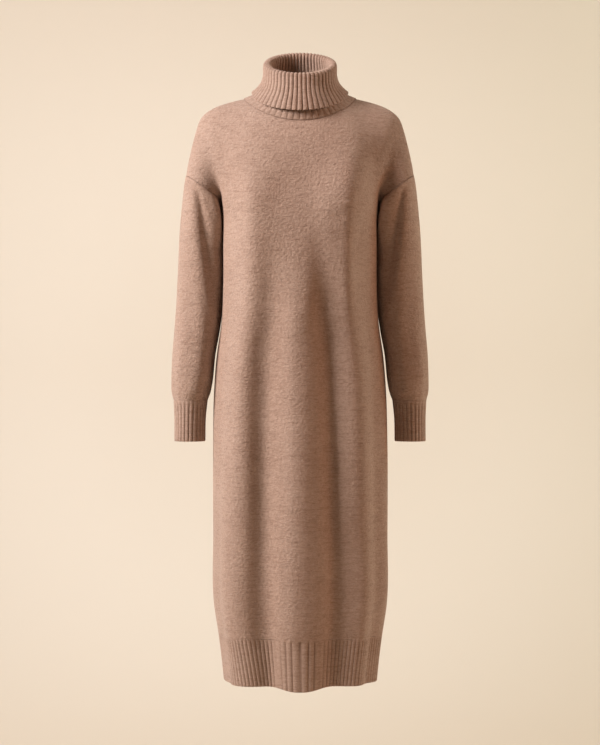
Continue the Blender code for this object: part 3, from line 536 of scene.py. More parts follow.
def cloth_wall(name, outer, inner, closed, lift=None, across_rib=None):
    """One closed wall from the grids of its two faces, with the cloth's own UV map in metres.
    lift and across_rib are left on it for the ribbing: each point's way out, and its place in ribs."""
    rows, columns = outer.shape[:2]
    number = np.arange(2 * rows * columns).reshape(2, rows, columns)
    points = np.stack((outer, inner))
    if closed:
        number = np.concatenate((number, number[:, :, :1]), axis=2)
        wrapped = np.concatenate((points, points[:, :, :1]), axis=2)
    else:
        wrapped = points
    u = np.zeros(wrapped.shape[:3])
    u[:, :, 1:] = np.cumsum(np.linalg.norm(np.diff(wrapped, axis=2), axis=3), axis=2)
    u -= u[:, :, -1:] / 2
    v = np.zeros(wrapped.shape[:3])
    v[:, 1:] = np.cumsum(np.linalg.norm(np.diff(wrapped, axis=1), axis=3), axis=1)
    flat = np.stack((u, v[:, -1:] - v), axis=3)

    def quads(a, b):
        return np.stack((a[:-1], a[1:], b[1:], b[:-1]), axis=1)

    faces, flats = [], []
    for grid, made in ((number, faces), (flat, flats)):
        made += [quads(grid[0, k], grid[0, k + 1]) for k in range(rows - 1)]
        made += [quads(grid[1, k + 1], grid[1, k]) for k in range(rows - 1)]
        made += [quads(grid[1, 0], grid[0, 0]), quads(grid[0, -1], grid[1, -1])]
        if not closed:
            made += [quads(grid[0, :, 0], grid[1, :, 0]), quads(grid[1, :, -1], grid[0, :, -1])]
    faces, flats = np.concatenate(faces), np.concatenate(flats)
    points = points.reshape(-1, 3)
    corner = points[faces[: (rows - 1) * columns // 2]]
    facing = np.cross(corner[:, 2] - corner[:, 0], corner[:, 3] - corner[:, 1])
    outwards = (outer - inner).reshape(-1, 3)[faces[: len(corner), 0]]
    if np.sum(facing * outwards) < 0:
        faces, flats = faces[:, ::-1], flats[:, ::-1]
    mesh = bpy.data.meshes.new(name)
    mesh.from_pydata(points.tolist(), [], faces.tolist())
    map_of_cloth = mesh.uv_layers.new(name="cloth")
    map_of_cloth.data.foreach_set("uv", flats.astype(np.float32).reshape(-1))
    if lift is not None:
        leave_values(mesh, lift=lift, across_rib=across_rib)
    mesh.shade_smooth()
    mesh.set_sharp_from_angle(angle=SHARP_FROM)
    piece = bpy.data.objects.new(name, mesh)
    bpy.context.collection.objects.link(piece)
    return piece


# The darkest yarn shade, also used as painted shade in the valleys between ribs
HEATHER_DARK_AND_PAINTED_SHADE = (0.215, 0.128, 0.090)
HEATHER_MAIN = (0.425, 0.290, 0.225)
HEATHER_PALE = (0.570, 0.425, 0.345)
WOOL = {"Roughness": 0.94, "Specular_IOR_Level": 0.18, "Sheen_Weight": 0.35}
NAP_TINT, NAP_ROUGHNESS = (1.0, 0.86, 0.76), 0.5
WALE, COURSE = 0.0021, 0.0016  # one stitch, across and down
STITCH_SLANT, FUZZ_DEPTH = 1.3, 0.0005
# Noise in the wool: cells a metre along a course of stitches and down the cloth, detail, roughness
PEBBLES = (175, 190, 2.5, 0.55)
STREAKS = (38, 300, 2.5, 0.6)
FLECKS = (120, 620, 2.0, 0.6)
SPECKS = (420, 560, 1.0, 0.5)
FUZZ = (900, 900, 2.0, 0.7)
CLOUDS = (13, 13, 3.0, 0.55)


def maths(tree, operation, a, b=0.0):
    """One step of arithmetic in a tree, with numbers or the results of other nodes."""
    return add_node(tree, "ShaderNodeMath", (("operation", operation),), _0=a, _1=b).outputs[0]


def heathered_knit(name, wale, course, stitch_depth, pebble_depth, painted_valley_shade=0.0):
    """Wool of three mixed shades, in stitches of the size given, on the cloth's UV map in metres."""
    material = new_material(name, Sheen_Roughness=NAP_ROUGHNESS, Sheen_Tint=(*NAP_TINT, 1.0), **WOOL)
    tree = material.node_tree
    flat = add_node(tree, "ShaderNodeUVMap", (("uv_map", "cloth"),)).outputs[0]
    place = add_node(tree, "ShaderNodeTexCoord").outputs["Object"]

    def noise(across, down, detail, roughness):
        cells = add_node(tree, "ShaderNodeVectorMath", (("operation", "MULTIPLY"),), _0=place)
        wire(cells, _1=(across, across, down))
        mottled = add_node(tree, "ShaderNodeTexNoise", Vector=cells.outputs[0], Scale=1.0)
        return wire(mottled, Detail=detail, Roughness=roughness).outputs[0]

    def share(value, low, high, most):
        """0 where the value is low, rising to the most where it is high."""
        rising = add_node(tree, "ShaderNodeMapRange", SMOOTHSTEP, Value=value, _1=low, _2=high).outputs[0]
        return maths(tree, "MULTIPLY", rising, most)

    def bumped(height, depth, **below):
        return add_node(tree, "ShaderNodeBump", Height=height, Distance=depth, **below).outputs[0]

    pebbles = noise(*PEBBLES)
    shade = (*HEATHER_MAIN, 1.0)
    # Over the main shade, first to last: how much of each layer there is, and its shade
    layers = [
        (share(noise(*CLOUDS), 0.35, 0.68, 0.22), HEATHER_PALE),
        (share(pebbles, 0.40, 0.66, 0.20), HEATHER_PALE),
        (share(noise(*SPECKS), 0.54, 0.72, 0.62), HEATHER_PALE),
        (share(noise(*STREAKS), 0.46, 0.70, 0.30), HEATHER_DARK_AND_PAINTED_SHADE),
        (share(noise(*FLECKS), 0.50, 0.70, 0.46), HEATHER_DARK_AND_PAINTED_SHADE),
    ]
    # Painted shade: the valleys between ribs are painted darker by their rib_height, standing in for the
    # shade that falls in them
    if painted_valley_shade:
        heights = add_node(tree, "ShaderNodeAttribute", (("attribute_name", "rib_height"),))
        layers.append((share(heights.outputs["Fac"], 0.75, 0.15, painted_valley_shade), HEATHER_DARK_AND_PAINTED_SHADE))
    for amount, colour in layers:
        layer = add_node(tree, "ShaderNodeMix", COLOUR_MIX, Factor=amount, _6=shade, _7=(*colour, 1.0))
        shade = layer.outputs[2]

    # Each stitch is a V: its height falls off from the middle of its two legs.
    split = add_node(tree, "ShaderNodeSeparateXYZ", Vector=flat)
    across = maths(tree, "DIVIDE", split.outputs[0], wale)
    leg = maths(tree, "ABSOLUTE", maths(tree, "SUBTRACT", maths(tree, "FRACT", across), 0.5))
    row = maths(tree, "DIVIDE", split.outputs[1], course)
    down = maths(tree, "ADD", row, maths(tree, "MULTIPLY", leg, STITCH_SLANT))
    loops = maths(tree, "SINE", maths(tree, "MULTIPLY", down, 2 * math.pi))
    gaps = maths(tree, "SINE", maths(tree, "MULTIPLY", leg, 2 * math.pi))
    stitches = maths(tree, "ADD", maths(tree, "MULTIPLY", loops, 0.5), gaps)
    normal = bumped(stitches, stitch_depth)
    normal = bumped(pebbles, pebble_depth, Normal=normal)
    normal = bumped(noise(*FUZZ), FUZZ_DEPTH, Normal=normal)
    wire(tree.nodes["Principled BSDF"], Base_Color=shade, Normal=normal)
    return material


plain_knit = heathered_knit("plain_knit", WALE, COURSE, stitch_depth=0.00012, pebble_depth=0.0021)

SEAM_GROOVE = (0.0010, 0.0003)  # how far the lines nearest a linked seam are drawn in


def draw_in(outer, normals, line):
    """Draws a face in along a seam. line(k) picks its k-th line of points from the seam."""
    for k, depth in enumerate(SEAM_GROOVE):
        outer[line(k)] -= normals[line(k)] * depth


panels = body_panels()
# name, width and length of the cut, share of that rectangle that is cloth
PANEL_CUTS = (("front", (0.50, 1.13), 0.86), ("back", (0.50, 1.15), 0.86))
for (points, normals), (name, cut, share) in zip(panels, PANEL_CUTS):
    outer = points.copy()
    for shoulder in (slice(0, SHOULDER_STEPS + 1), slice(-SHOULDER_STEPS - 1, None)):
        draw_in(outer, normals, lambda k: (k, shoulder))
    draw_in(outer, normals, lambda k: (slice(None), k))
    draw_in(outer, normals, lambda k: (slice(None), -1 - k))
    panel = cloth_wall(name + "_panel", outer, points - normals * KNIT_WALL, False)
    panel.data.materials.append(plain_knit)
    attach(panel, "root")
    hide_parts(name)


# ---- Sleeves ------------------------------------------------------------------------------
# Two wide tubes of the same knit, linked to the dropped armholes and narrowed at the wrist. They
# hang down beside the body, with long soft folds below the armhole and over the cuff.

SLEEVE_ROWS, SLEEVE_COLUMNS = 150, 120
# The left sleeve's rings, from the armhole down: outer_x, outer_z, inner_x, inner_z, mid_y, half_depth
SLEEVE_RINGS = (
    (0.2305, -0.1540, 0.1575, -0.2060, 0.000, 0.0600),
    (0.2347, -0.1800, 0.1570, -0.2180, 0.002, 0.0595),
    (0.2395, -0.2220, 0.1543, -0.2500, 0.006, 0.0590),
    (0.2440, -0.2750, 0.1542, -0.2930, 0.009, 0.0580),
    (0.2475, -0.3500, 0.1545, -0.3600, 0.011, 0.0570),
    (0.2510, -0.4160, 0.1567, -0.4200, 0.012, 0.0560),
    (0.2545, -0.4650, 0.1625, -0.4660, 0.011, 0.0545),
    (0.2585, -0.5150, 0.1712, -0.5150, 0.009, 0.0530),
    (0.2600, -0.5600, 0.1755, -0.5600, 0.006, 0.0510),
    (0.2600, -0.5880, 0.1800, -0.5880, 0.004, 0.0470),
    (0.2557, -0.6060, 0.1864, -0.6060, 0.003, 0.0402),
)
SLEEVE_FOLD_POWER = 0.7  # lower powers keep a fold full for more of its length
# Folds and creases, by the share of the length where each starts and ends. Angles go from the outer
# edge over the front to the inner edge: top, bottom, top_angle, bottom_angle, width, height
SLEEVE_FOLDS = (
    (0.03, 0.52, 68, 138, 15, -0.0085),
    (0.00, 0.32, 119, 140, 17, 0.0115),
    (0.34, 0.95, 112, 110, 30, 0.0050),
    (0.30, 0.74, 56, 88, 26, -0.0035),
    (0.58, 0.99, 100, 72, 24, -0.0025),
    (0.80, 1.00, 35, 28, 20, -0.0030),
    (0.80, 1.00, 140, 146, 20, -0.0030),
    (0.04, 0.52, 284, 222, 25, -0.0070),
    (0.36, 0.82, 310, 265, 26, -0.0040),
    (0.76, 1.00, 248, 262, 22, -0.0035),
)
SLEEVE_CREASES = (
    (0.10, 0.34, 104, 150, 8, -0.0014),
    (0.06, 0.22, 60, 84, 9, 0.0010),
    (0.44, 0.62, 96, 128, 9, -0.0012),
    (0.62, 0.86, 60, 44, 10, 0.0010),
    (0.86, 1.00, 64, 60, 7, -0.0012),
    (0.88, 1.00, 108, 112, 7, 0.0010),
    (0.84, 1.00, 172, 176, 8, -0.0012),
    (0.12, 0.36, 256, 214, 9, -0.0014),
    (0.48, 0.66, 262, 232, 10, -0.0012),
    (0.86, 1.00, 300, 306, 8, -0.0012),
    (0.86, 1.00, 226, 220, 7, 0.0010),
)


def ring_normals(rings, centres):
    """Normals of a tube from its closed rings, turned away from the rings' centres."""
    return grid_normals(rings, rings[:, -1], rings[:, 0], 2 * rings[0] - rings[1], rings - centres)


def sleeve_rings():
    """The left sleeve's outer face from the armhole down, and its normals."""
    angles = np.arange(SLEEVE_COLUMNS) * 2 * math.pi / SLEEVE_COLUMNS
    rings, centres = [], []
    ring_numbers = range(len(SLEEVE_RINGS))
    for at in np.linspace(0, ring_numbers[-1], SLEEVE_ROWS + 1):
        outer_x, outer_z, inner_x, inner_z, mid_y, half_depth = smooth(ring_numbers, SLEEVE_RINGS, at)
        share = (1 + np.cos(angles)) / 2
        x, z = inner_x + (outer_x - inner_x) * share, inner_z + (outer_z - inner_z) * share
        rings.append(np.stack((x, mid_y - half_depth * np.sin(angles), z), axis=1))
        centres.append(((outer_x + inner_x) / 2, mid_y, (outer_z + inner_z) / 2))
    rings, centres = np.array(rings), np.array(centres)[:, None]
    normals = ring_normals(rings, centres)
    degrees = np.degrees(angles)
    for k, down in enumerate(np.linspace(0, 1, len(rings))):
        moved = np.zeros_like(degrees)
        for top, bottom, top_angle, bottom_angle, width, height in SLEEVE_FOLDS + SLEEVE_CREASES:
            share = (down - top) / (bottom - top)
            if 0 < share < 1:
                middle = top_angle + (bottom_angle - top_angle) * share
                strength = math.sin(math.pi * share) ** SLEEVE_FOLD_POWER
                moved += height * strength * bell(around(degrees - middle), width)
        rings[k] += normals[k] * moved[:, None]
    normals = ring_normals(rings, centres)
    for k, psi in enumerate(angles):
        normals[0, k], across = armhole_directions(psi)
        rings[0, k] = armhole_point(psi) + across * SEAM_GAP / 2
    normals[-1] = unit(normals[-1] * (1, 1, 0))
    return rings, normals


rings, normals = sleeve_rings()
outer = rings.copy()
draw_in(outer, normals, lambda k: k)
SIDES = (("left", (1, 1, 1)), ("right", (-1, 1, 1)))  # a side, and what mirrors the left one's points to it
for side, mirror in SIDES:
    sleeve = cloth_wall(side + "_sleeve_knit", outer * mirror, (rings - normals * KNIT_WALL) * mirror, True)
    sleeve.data.materials.append(plain_knit)
    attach(sleeve, "root")
    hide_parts(side + "_sleeve")


# ---- Ribbed cuffs -------------------------------------------------------------------------
# A springy rib knitted onto each sleeve, with rounded ribs and deep narrow valleys between them.
# It draws the sleeve in at the wrist and ends in a soft bound-off edge.

RIB_WALL, RIB_RELIEF = 0.0020, 0.0013  # together the thickness of the cloth on a rib
RIB_WALE = 0.0024
CUFF_RIBS, CUFF_LINES, POINTS_A_RIB = 24, 26, 10
# z, middle_x, middle_y, half_width, half_depth
CUFF_ROWS = (
    (-0.6063, 0.2210, 0.0030, 0.0345, 0.0400),
    (-0.6400, 0.2220, 0.0020, 0.0320, 0.0375),
    (-0.6890, 0.2225, 0.0010, 0.0315, 0.0370),
)
# The last lines before a bound-off edge: how far each lies from it, and how far the two faces close
BOUND_EDGE, EDGE_START = (0.0022, 0.0012, 0.0005, 0.0), 0.004
EDGE_PINCH = (0.02, 0.10, 0.24, 0.40)
RIB_DEPTH, RIB_ROUNDNESS, INSIDE_DEPTH = 0.0019, 0.55, 0.7  # the last is the inner ribs' share of the depth
CUFF_FADE = (-0.5, 4)  # the ribs deepen between these lines below the sleeve


def new_group(name, output, **inputs):
    """A Geometry Nodes tree with its inputs and one output: (tree, given inputs, output node)."""
    tree = bpy.data.node_groups.new(name, "GeometryNodeTree")
    for label, kind in inputs.items():
        tree.interface.new_socket(label, in_out="INPUT", socket_type="NodeSocket" + kind)
    tree.interface.new_socket(output, in_out="OUTPUT", socket_type="NodeSocketGeometry")
    return tree, add_node(tree, "NodeGroupInput").outputs, add_node(tree, "NodeGroupOutput")


def value_on_points(tree, name, kind):
    """Reads the values that leave_values left on a mesh."""
    read = add_node(tree, "GeometryNodeInputNamedAttribute", (("data_type", kind),), Name=name)
    return read.outputs["Attribute"]


def finish_group(tree, geometry, material, made):
    """Ends a tree: its instances made real, its material given, and the result passed out."""
    real = add_node(tree, "GeometryNodeRealizeInstances", _0=geometry).outputs[0]
    wire(made, _0=add_node(tree, "GeometryNodeSetMaterial", Geometry=real, Material=material).outputs[0])


def ribbing_nodes():
    """Geometry Nodes that press the valleys between ribs into a wall, by its lift and across_rib."""
    tree, given, made = new_group(
        "ribbing", "Ribbed", Cloth="Geometry", Relief="Float", Roundness="Float", Material="Material"
    )
    rib = value_on_points(tree, "across_rib", "FLOAT")
    phase = maths(tree, "MULTIPLY", maths(tree, "FRACT", rib), math.pi)
    height = maths(tree, "POWER", maths(tree, "MAXIMUM", maths(tree, "SINE", phase)), given["Roundness"])
    below = maths(tree, "SUBTRACT", height, 1.0)
    lift = value_on_points(tree, "lift", "FLOAT_VECTOR")
    pressed = maths(tree, "MULTIPLY", below, given["Relief"])
    moves = add_node(tree, "ShaderNodeVectorMath", (("operation", "SCALE"),), _0=lift, Scale=pressed)
    strength = add_node(tree, "ShaderNodeVectorMath", (("operation", "LENGTH"),), _0=lift).outputs["Value"]
    place = add_node(tree, "GeometryNodeSetPosition", Geometry=given["Cloth"], Offset=moves.outputs[0])
    keep = add_node(tree, "GeometryNodeStoreNamedAttribute", (("data_type", "FLOAT"), ("domain", "POINT")))
    # Each point's height on its rib, left for the knit's material, which paints shade into the valleys by it
    rib_height = maths(tree, "ADD", maths(tree, "MULTIPLY", below, strength), 1.0)
    wire(keep, Geometry=place.outputs[0], Name="rib_height", Value=rib_height)
    finish_group(tree, keep.outputs[0], given["Material"], made)
    return tree


def apply_nodes(piece, tree, **settings):
    """Runs a tree on a piece with the settings given by name, and leaves its result as a plain mesh."""
    modifier = piece.modifiers.new(tree.name, "NODES")
    modifier.node_group = tree
    for item in tree.interface.items_tree:
        if item.in_out == "INPUT" and item.name in settings:
            modifier[item.identifier] = settings[item.name]
    bpy.context.view_layer.update()
    result = bpy.data.meshes.new_from_object(piece.evaluated_get(bpy.context.evaluated_depsgraph_get()))
    result.name = piece.name
    piece.modifiers.clear()
    piece.data = result


def fall_to_edge(length, lines):
    """How far each line of a ribbed band lies from its start: even lines, then those of its edge."""
    return np.concatenate((np.linspace(0, length - EDGE_START, lines), length - np.array(BOUND_EDGE)))


def pinch_edge(outer, inner):
    """Rounds a bound-off edge: its two faces close towards each other over the last lines."""
    for row, share in zip(range(-len(EDGE_PINCH), 0), EDGE_PINCH):
        middle = (outer[row] + inner[row]) / 2
        outer[row] += (middle - outer[row]) * share
        inner[row] += (middle - inner[row]) * share


def rib_places(shares, ribs):
    """Places round a band, counted in ribs. An inner rib lies behind each outer valley."""
    return np.stack((shares, shares + 0.5 / ribs))[:, None] * ribs


# The rib knit has painted shade in the valleys between its ribs
rib_knit = heathered_knit(
    "rib_knit", RIB_WALE, COURSE, stitch_depth=0.00016, pebble_depth=0.0008, painted_valley_shade=0.72
)
ribbing = ribbing_nodes()

shares = np.arange(CUFF_RIBS * POINTS_A_RIB) / (CUFF_RIBS * POINTS_A_RIB)
angle = 2 * math.pi * shares
top_z, end_z = CUFF_ROWS[0][0], CUFF_ROWS[-1][0]
falls = fall_to_edge(top_z - end_z, CUFF_LINES)
cuff_table = np.array(CUFF_ROWS)
faces = []
for inset in (0.0, RIB_WALL + RIB_RELIEF):
    grid = []
    for fall in falls:
        section = smooth(-cuff_table[:, 0], cuff_table[:, 1:], fall - top_z)
        middle_x, middle_y, half_width, half_depth = section
        x = middle_x + (half_width - inset) * np.cos(angle)
        y = middle_y - (half_depth - inset) * np.sin(angle)
        grid.append(np.stack((x, y, np.full_like(x, top_z - fall)), axis=1))
    faces.append(np.array(grid))
outer, inner = faces
outwards = unit(outer - inner)
pinch_edge(outer, inner)
fade = ramp(np.arange(len(falls)), *CUFF_FADE)[:, None, None]
lift = np.stack((outwards * fade, -outwards * fade * INSIDE_DEPTH))
across_rib = np.broadcast_to(rib_places(shares, CUFF_RIBS), lift.shape[:3])
for side, mirror in SIDES:
    cuff = cloth_wall(side + "_cuff_rib", outer * mirror, inner * mirror, True, lift * mirror, across_rib)
    apply_nodes(cuff, ribbing, Relief=RIB_DEPTH, Roundness=RIB_ROUNDNESS, Material=rib_knit)
    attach(cuff, "root")
    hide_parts(side + "_cuff")


# ---- Hem ribs -----------------------------------------------------------------------------
# A deep band of the same rib under each panel, which draws the hem in a little. The folds of the
# skirt run on into it, and the middle one hangs lowest.

HEM_RIBS, HEM_LINES, HEM_FADE = 60, 30, (-0.5, 1.5)
HEM_DIP, HEM_DIP_WIDTH = 0.008, 10.0  # how far the middle hangs lower, and over how many degrees
# Where the ribs slant towards a fold on their way down: angle, width in degrees, ribs towards +x
HEM_SLANTS = ((-34, 22, 1.2), (36, 22, -0.4), (148, 22, -0.6), (214, 22, 0.6))
# Where a fold pulls the ribs flat: angle, width in degrees, share of their depth that goes
HEM_FLATS = ((-68, 8, 0.85), (-11, 2.6, 0.9), (9, 1.8, 0.6), (53, 3, 0.7), (-174, 3, 0.7), (-146, 3, 0.7))


def hem_angles(shares, is_back):
    """Angles from the centre front, at shares of a hem rib's width."""
    return 180 - 90 * (2 * shares - 1) if is_back else 90 * (2 * shares - 1)


def hem_line(z, shares, is_back, inset):
    """One line around a hem rib: the body's section and folds at a height, inset from its face."""
    side_x, side_y, front_y, back_y = level(z)
    across = 2 * shares - 1
    centre = (0.0, back_y if is_back else front_y, z)
    line = half_row(np.abs(across), centre, (side_x, side_y, z), 1.0, BODY_POWER)
    line[:, 0] *= np.sign(across)
    along = np.gradient(line, axis=0)
    outwards = unit(np.stack((-along[:, 1], along[:, 0], np.zeros(len(line))), axis=1))
    outwards *= np.where(np.sum(outwards * line * (1, 1, 0), axis=1, keepdims=True) < 0, -1, 1)
    outwards[[0, -1]] = ((-1, 0, 0), (1, 0, 0))
    angles = hem_angles(shares, is_back)
    heights = np.full_like(angles, z)
    line += outwards * (body_fold(angles, heights) + body_creases(angles, heights) - inset)[:, None]
    line[:, 2] -= HEM_DIP * bell(around(angles), HEM_DIP_WIDTH) * ramp(-z, -HEM_SEAM_Z, -HEM_Z)
    line[[0, -1], 1] += SEAM_GAP / 2 if is_back else -SEAM_GAP / 2
    return line, outwards


def at_folds(table, shares, is_back):
    """What a table of (angle, width, amount) adds up to at shares of a hem rib's width."""
    angles = hem_angles(shares, is_back)
    return sum(amount * bell(around(angles - middle), width) for middle, width, amount in table)


shares = np.linspace(0, 1, HEM_RIBS * POINTS_A_RIB + 1)
top_z = HEM_SEAM_Z - SEAM_GAP / 2
falls = fall_to_edge(top_z - HEM_Z, HEM_LINES)
across_rib = rib_places(shares, HEM_RIBS)
across_rib[1, :, 0] = across_rib[1, :, -1] = 0.5
for name, is_back in (("hem_rib_front", False), ("hem_rib_back", True)):
    lines = [hem_line(top_z - fall, shares, is_back, 0.0) for fall in falls]
    outer, outwards = (np.array(part) for part in zip(*lines))
    inner = np.array([hem_line(top_z - fall, shares, is_back, RIB_WALL + RIB_RELIEF)[0] for fall in falls])
    pinch_edge(outer, inner)
    fade = ramp(np.arange(len(falls)), *HEM_FADE)[:, None, None]
    fade = fade * (1 - at_folds(HEM_FLATS, shares, is_back))[None, :, None]
    lift = np.stack((outwards * fade, -outwards * fade * INSIDE_DEPTH))
    down = (falls / falls[-1])[None, :, None]
    slanted = across_rib - down * at_folds(HEM_SLANTS, shares, is_back)
    band = cloth_wall(name + "_knit", outer, inner, False, lift, slanted)
    apply_nodes(band, ribbing, Relief=RIB_DEPTH, Roundness=RIB_ROUNDNESS, Material=rib_knit)
    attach(band, "root")
    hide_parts(name)


# ---- Roll collar --------------------------------------------------------------------------
# One long ribbed tube, linked to the neck. It stands up from the seam, rolls over and comes down
# outside, wider at its edge, so that a narrow band of the stand still shows below it.

COLLAR_RIBS, COLLAR_LINES = 54, 92
COLLAR_RIB_DEPTH = 0.0023
STAND_DEPTH = 0.55  # share of the ribs' depth in the stand, where the tube is narrowest
# The ribs deepen over the seam, the cloth turns from the seam's way to its own, and the stand's
# shallow ribs grow to full ones below the roll, each over this much of the tube
SEAM_FADE, SEAM_TURN, ROLL_FADE = (-0.003, 0.004), 0.010, 0.010
SEAM_BAND = 0.030  # the visible band of the stand is filled out over this much of it
HIDDEN_DEPTH, BAND_DEPTH = 0.5, 0.1  # depth of the hidden face's ribs, and what the band adds
# The hidden face, from the neck seam up: side_x, side_y, side_z, front_y, front_z, back_y, back_z
STAND_ROWS = (
    (0.0985, 0.007, 0.0095, -0.0845, -0.0370, 0.0820, 0.0130),
    (0.0865, 0.004, 0.0155, -0.0805, -0.0210, 0.0770, 0.0300),
    (0.0740, 0.001, 0.0275, -0.0730, -0.0010, 0.0690, 0.0500),
    (0.0635, -0.002, 0.0520, -0.0640, 0.0240, 0.0590, 0.0780),
)
ROLL_RADIUS, ROLL_STEPS = 0.005, 10
ROLL_CENTRE = (0.0662, -0.003, 0.0690, -0.0655, 0.0370, 0.0595, 0.0975)
FLAP_ROWS = (
    (0.0720, -0.002, 0.0480, -0.0742, 0.0170, 0.0704, 0.0720),
    (0.0765, 0.000, 0.0335, -0.0790, 0.0010, 0.0762, 0.0530),
    (0.0860, 0.003, 0.0225, -0.0840, -0.0150, 0.0820, 0.0370),
    (0.0965, 0.006, 0.0150, -0.0895, -0.0335, 0.0880, 0.0200),
)


def ring(shares, side, front, back, roundness):
    """A closed ring through its side, front and back points; shares run once round from the right side."""
    turns = np.asarray(shares) * 4 % 4
    points = np.empty((len(turns), 3))
    for quarter in range(4):
        picked = (turns >= quarter) & (turns < quarter + 1)
        from_start = turns[picked] - quarter
        to_side = 1 - from_start if quarter % 2 == 0 else from_start
        arc = half_row(to_side, (0.0, *(front if quarter < 2 else back)), side, roundness)
        if quarter in (0, 3):
            arc[:, 0] *= -1
        points[picked] = arc
    return points


def collar_table():
    """The hidden face's rows above the neck seam, with the roll turned in fine steps."""
    side_x, side_y, side_z, front_y, front_z, back_y, back_z = ROLL_CENTRE
    rows = list(STAND_ROWS)
    for k in range(ROLL_STEPS + 1):
        turn = math.pi * k / ROLL_STEPS
        out, up = -math.cos(turn) * ROLL_RADIUS, math.sin(turn) * ROLL_RADIUS
        side = (side_x + out, side_y, side_z + up)
        rows.append(side + (front_y - out, front_z + up, back_y + out, back_z + up))
    return rows + list(FLAP_ROWS)


def neck_seam():
    """The neck seam as one ring from the wearer's right: its points and normals."""
    middle = NECK_STEPS + SHOULDER_STEPS
    neck = slice(middle - NECK_STEPS, middle + NECK_STEPS + 1)
    (front, front_out), (back, back_out) = panels
    ends = ((front, back), (front_out, back_out))
    return [np.vstack((one[0, neck][:-1], other[0, neck][:0:-1])) for one, other in ends]


def read_around(shares, values):
    """Values that are evenly spread round a ring, read at shares of the way round."""
    places = np.linspace(0, 1, len(values) + 1)
    closed = np.vstack((values, values[:1]))
    return np.stack([np.interp(shares, places, column) for column in closed.T], axis=1)


shares = np.arange(COLLAR_RIBS * POINTS_A_RIB) / (COLLAR_RIBS * POINTS_A_RIB)
table = collar_table()
seam_points, seam_normals = neck_seam()
key_rings = [read_around(shares, seam_points)]
for k, row in enumerate(table):
    roundness = NECK_ROUNDNESS * (1 - ramp(k, 0, len(STAND_ROWS)))
    key_rings.append(ring(shares, row[:3], row[3:5], row[5:], roundness))
key_rings = np.array(key_rings)
step_lengths = np.linalg.norm(np.diff(key_rings, axis=0), axis=2).mean(axis=1)
walked = np.concatenate(((0.0,), np.cumsum(step_lengths)))
stops = fall_to_edge(walked[-1], COLLAR_LINES)
hidden = np.array([smooth(walked, key_rings.reshape(len(key_rings), -1), at).reshape(-1, 3) for at in stops])
wide = np.concatenate((hidden[:, -1:], hidden, hidden[:, :1]), axis=1)
outwards = unit(np.cross(np.gradient(hidden, axis=0), np.gradient(wide, axis=1)[:, 1:-1]))
if np.sum(outwards[1] * hidden[1] * (1, 1, 0)) > 0:
    outwards = -outwards
turn_in = ramp(stops, 0.0, SEAM_TURN)[:, None, None]
outwards = unit(-unit(read_around(shares, seam_normals))[None] * (1 - turn_in) + outwards * turn_in)
shown = hidden + outwards * (RIB_WALL + RIB_RELIEF)
near_seam = bell(stops, SEAM_BAND)[:, None, None] ** 2
hidden = hidden - outwards * RIB_RELIEF * near_seam
pinch_edge(shown, hidden)
fade = ramp(stops, *SEAM_FADE)[:, None, None]
roll_start = walked[len(STAND_ROWS)]
below_roll = STAND_DEPTH + (1 - STAND_DEPTH) * ramp(stops, roll_start - ROLL_FADE, roll_start)[:, None, None]
lift = np.stack((outwards * fade * below_roll, -outwards * fade * (HIDDEN_DEPTH + BAND_DEPTH * near_seam)))
across_rib = np.broadcast_to(rib_places(shares, COLLAR_RIBS), lift.shape[:3])
collar = cloth_wall("roll_collar_knit", shown, hidden, True, lift, across_rib)
apply_nodes(collar, ribbing, Relief=COLLAR_RIB_DEPTH, Roundness=RIB_ROUNDNESS, Material=rib_knit)
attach(collar, "root")
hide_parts("roll_collar")


# ---- Linked seams -------------------------------------------------------------------------
# Shoulders, armholes, sides and neck are linked loop by loop with a strand of the same wool. It
# shows as a fine row of slanting stitches that lie over the crease of each seam.

LINK_PITCH, LINK_SPAN, LINK_YARN = 0.0021, 0.0020, 0.00034
LINK_SUNK, NECK_LINK_LIFT = 0.0009, 0.0009  # below the cloth's face in a crease; above it at the neck
LINK_SIDES, LINK_BENDS = 4, 3  # of the strand: round it, and along it over one stitch
ARMHOLE_POINTS = 241  # its line, before it is parted into stitches
STRAND_MOTTLING, STRAND_GRAIN = 420.0, 0.0002  # cells a metre, and their depth
# The strand's way over the seam, as shares of pitch, span and thickness: socket, along, across, up
LINK_SHAPE = (
    ("Start", -0.40, -0.50, -0.60),
    ("Start Handle", -0.25, -0.35, 1.30),
    ("End Handle", 0.25, 0.35, 1.30),
    ("End", 0.40, 0.50, -0.60),
)


def linking_nodes():
    """Geometry Nodes that lay one slanting stitch over each point, turned by its along and out."""
    sizes = {"Pitch": "Float", "Span": "Float", "Yarn": "Float"}
    tree, given, made = new_group("linking", "Stitches", Places="Geometry", **sizes, Material="Material")
    strand = add_node(tree, "GeometryNodeCurvePrimitiveBezierSegment", Resolution=LINK_BENDS)
    for socket, *shares in LINK_SHAPE:
        point = add_node(tree, "ShaderNodeCombineXYZ")
        for axis, (label, share) in enumerate(zip(sizes, shares)):
            tree.links.new(maths(tree, "MULTIPLY", given[label], share), point.inputs[axis])
        tree.links.new(point.outputs[0], strand.inputs[socket])
    section = add_node(tree, "GeometryNodeCurvePrimitiveCircle", Resolution=LINK_SIDES, Radius=given["Yarn"])
    tube = add_node(tree, "GeometryNodeCurveToMesh", Curve=strand.outputs["Curve"], Fill_Caps=True)
    wire(tube, Profile_Curve=section.outputs["Curve"])
    turned = {}
    for axis, pivot, label in (("X", "AUTO", "along"), ("Z", "X", "out")):
        turn = add_node(tree, "FunctionNodeAlignRotationToVector", (("axis", axis), ("pivot_axis", pivot)))
        wire(turn, Vector=value_on_points(tree, label, "FLOAT_VECTOR"), **turned)
        turned = {"Rotation": turn.outputs[0]}
    each = add_node(tree, "GeometryNodeInstanceOnPoints", Points=given["Places"], **turned)
    wire(each, Instance=tube.outputs["Mesh"])
    finish_group(tree, each.outputs[0], given["Material"], made)
    return tree


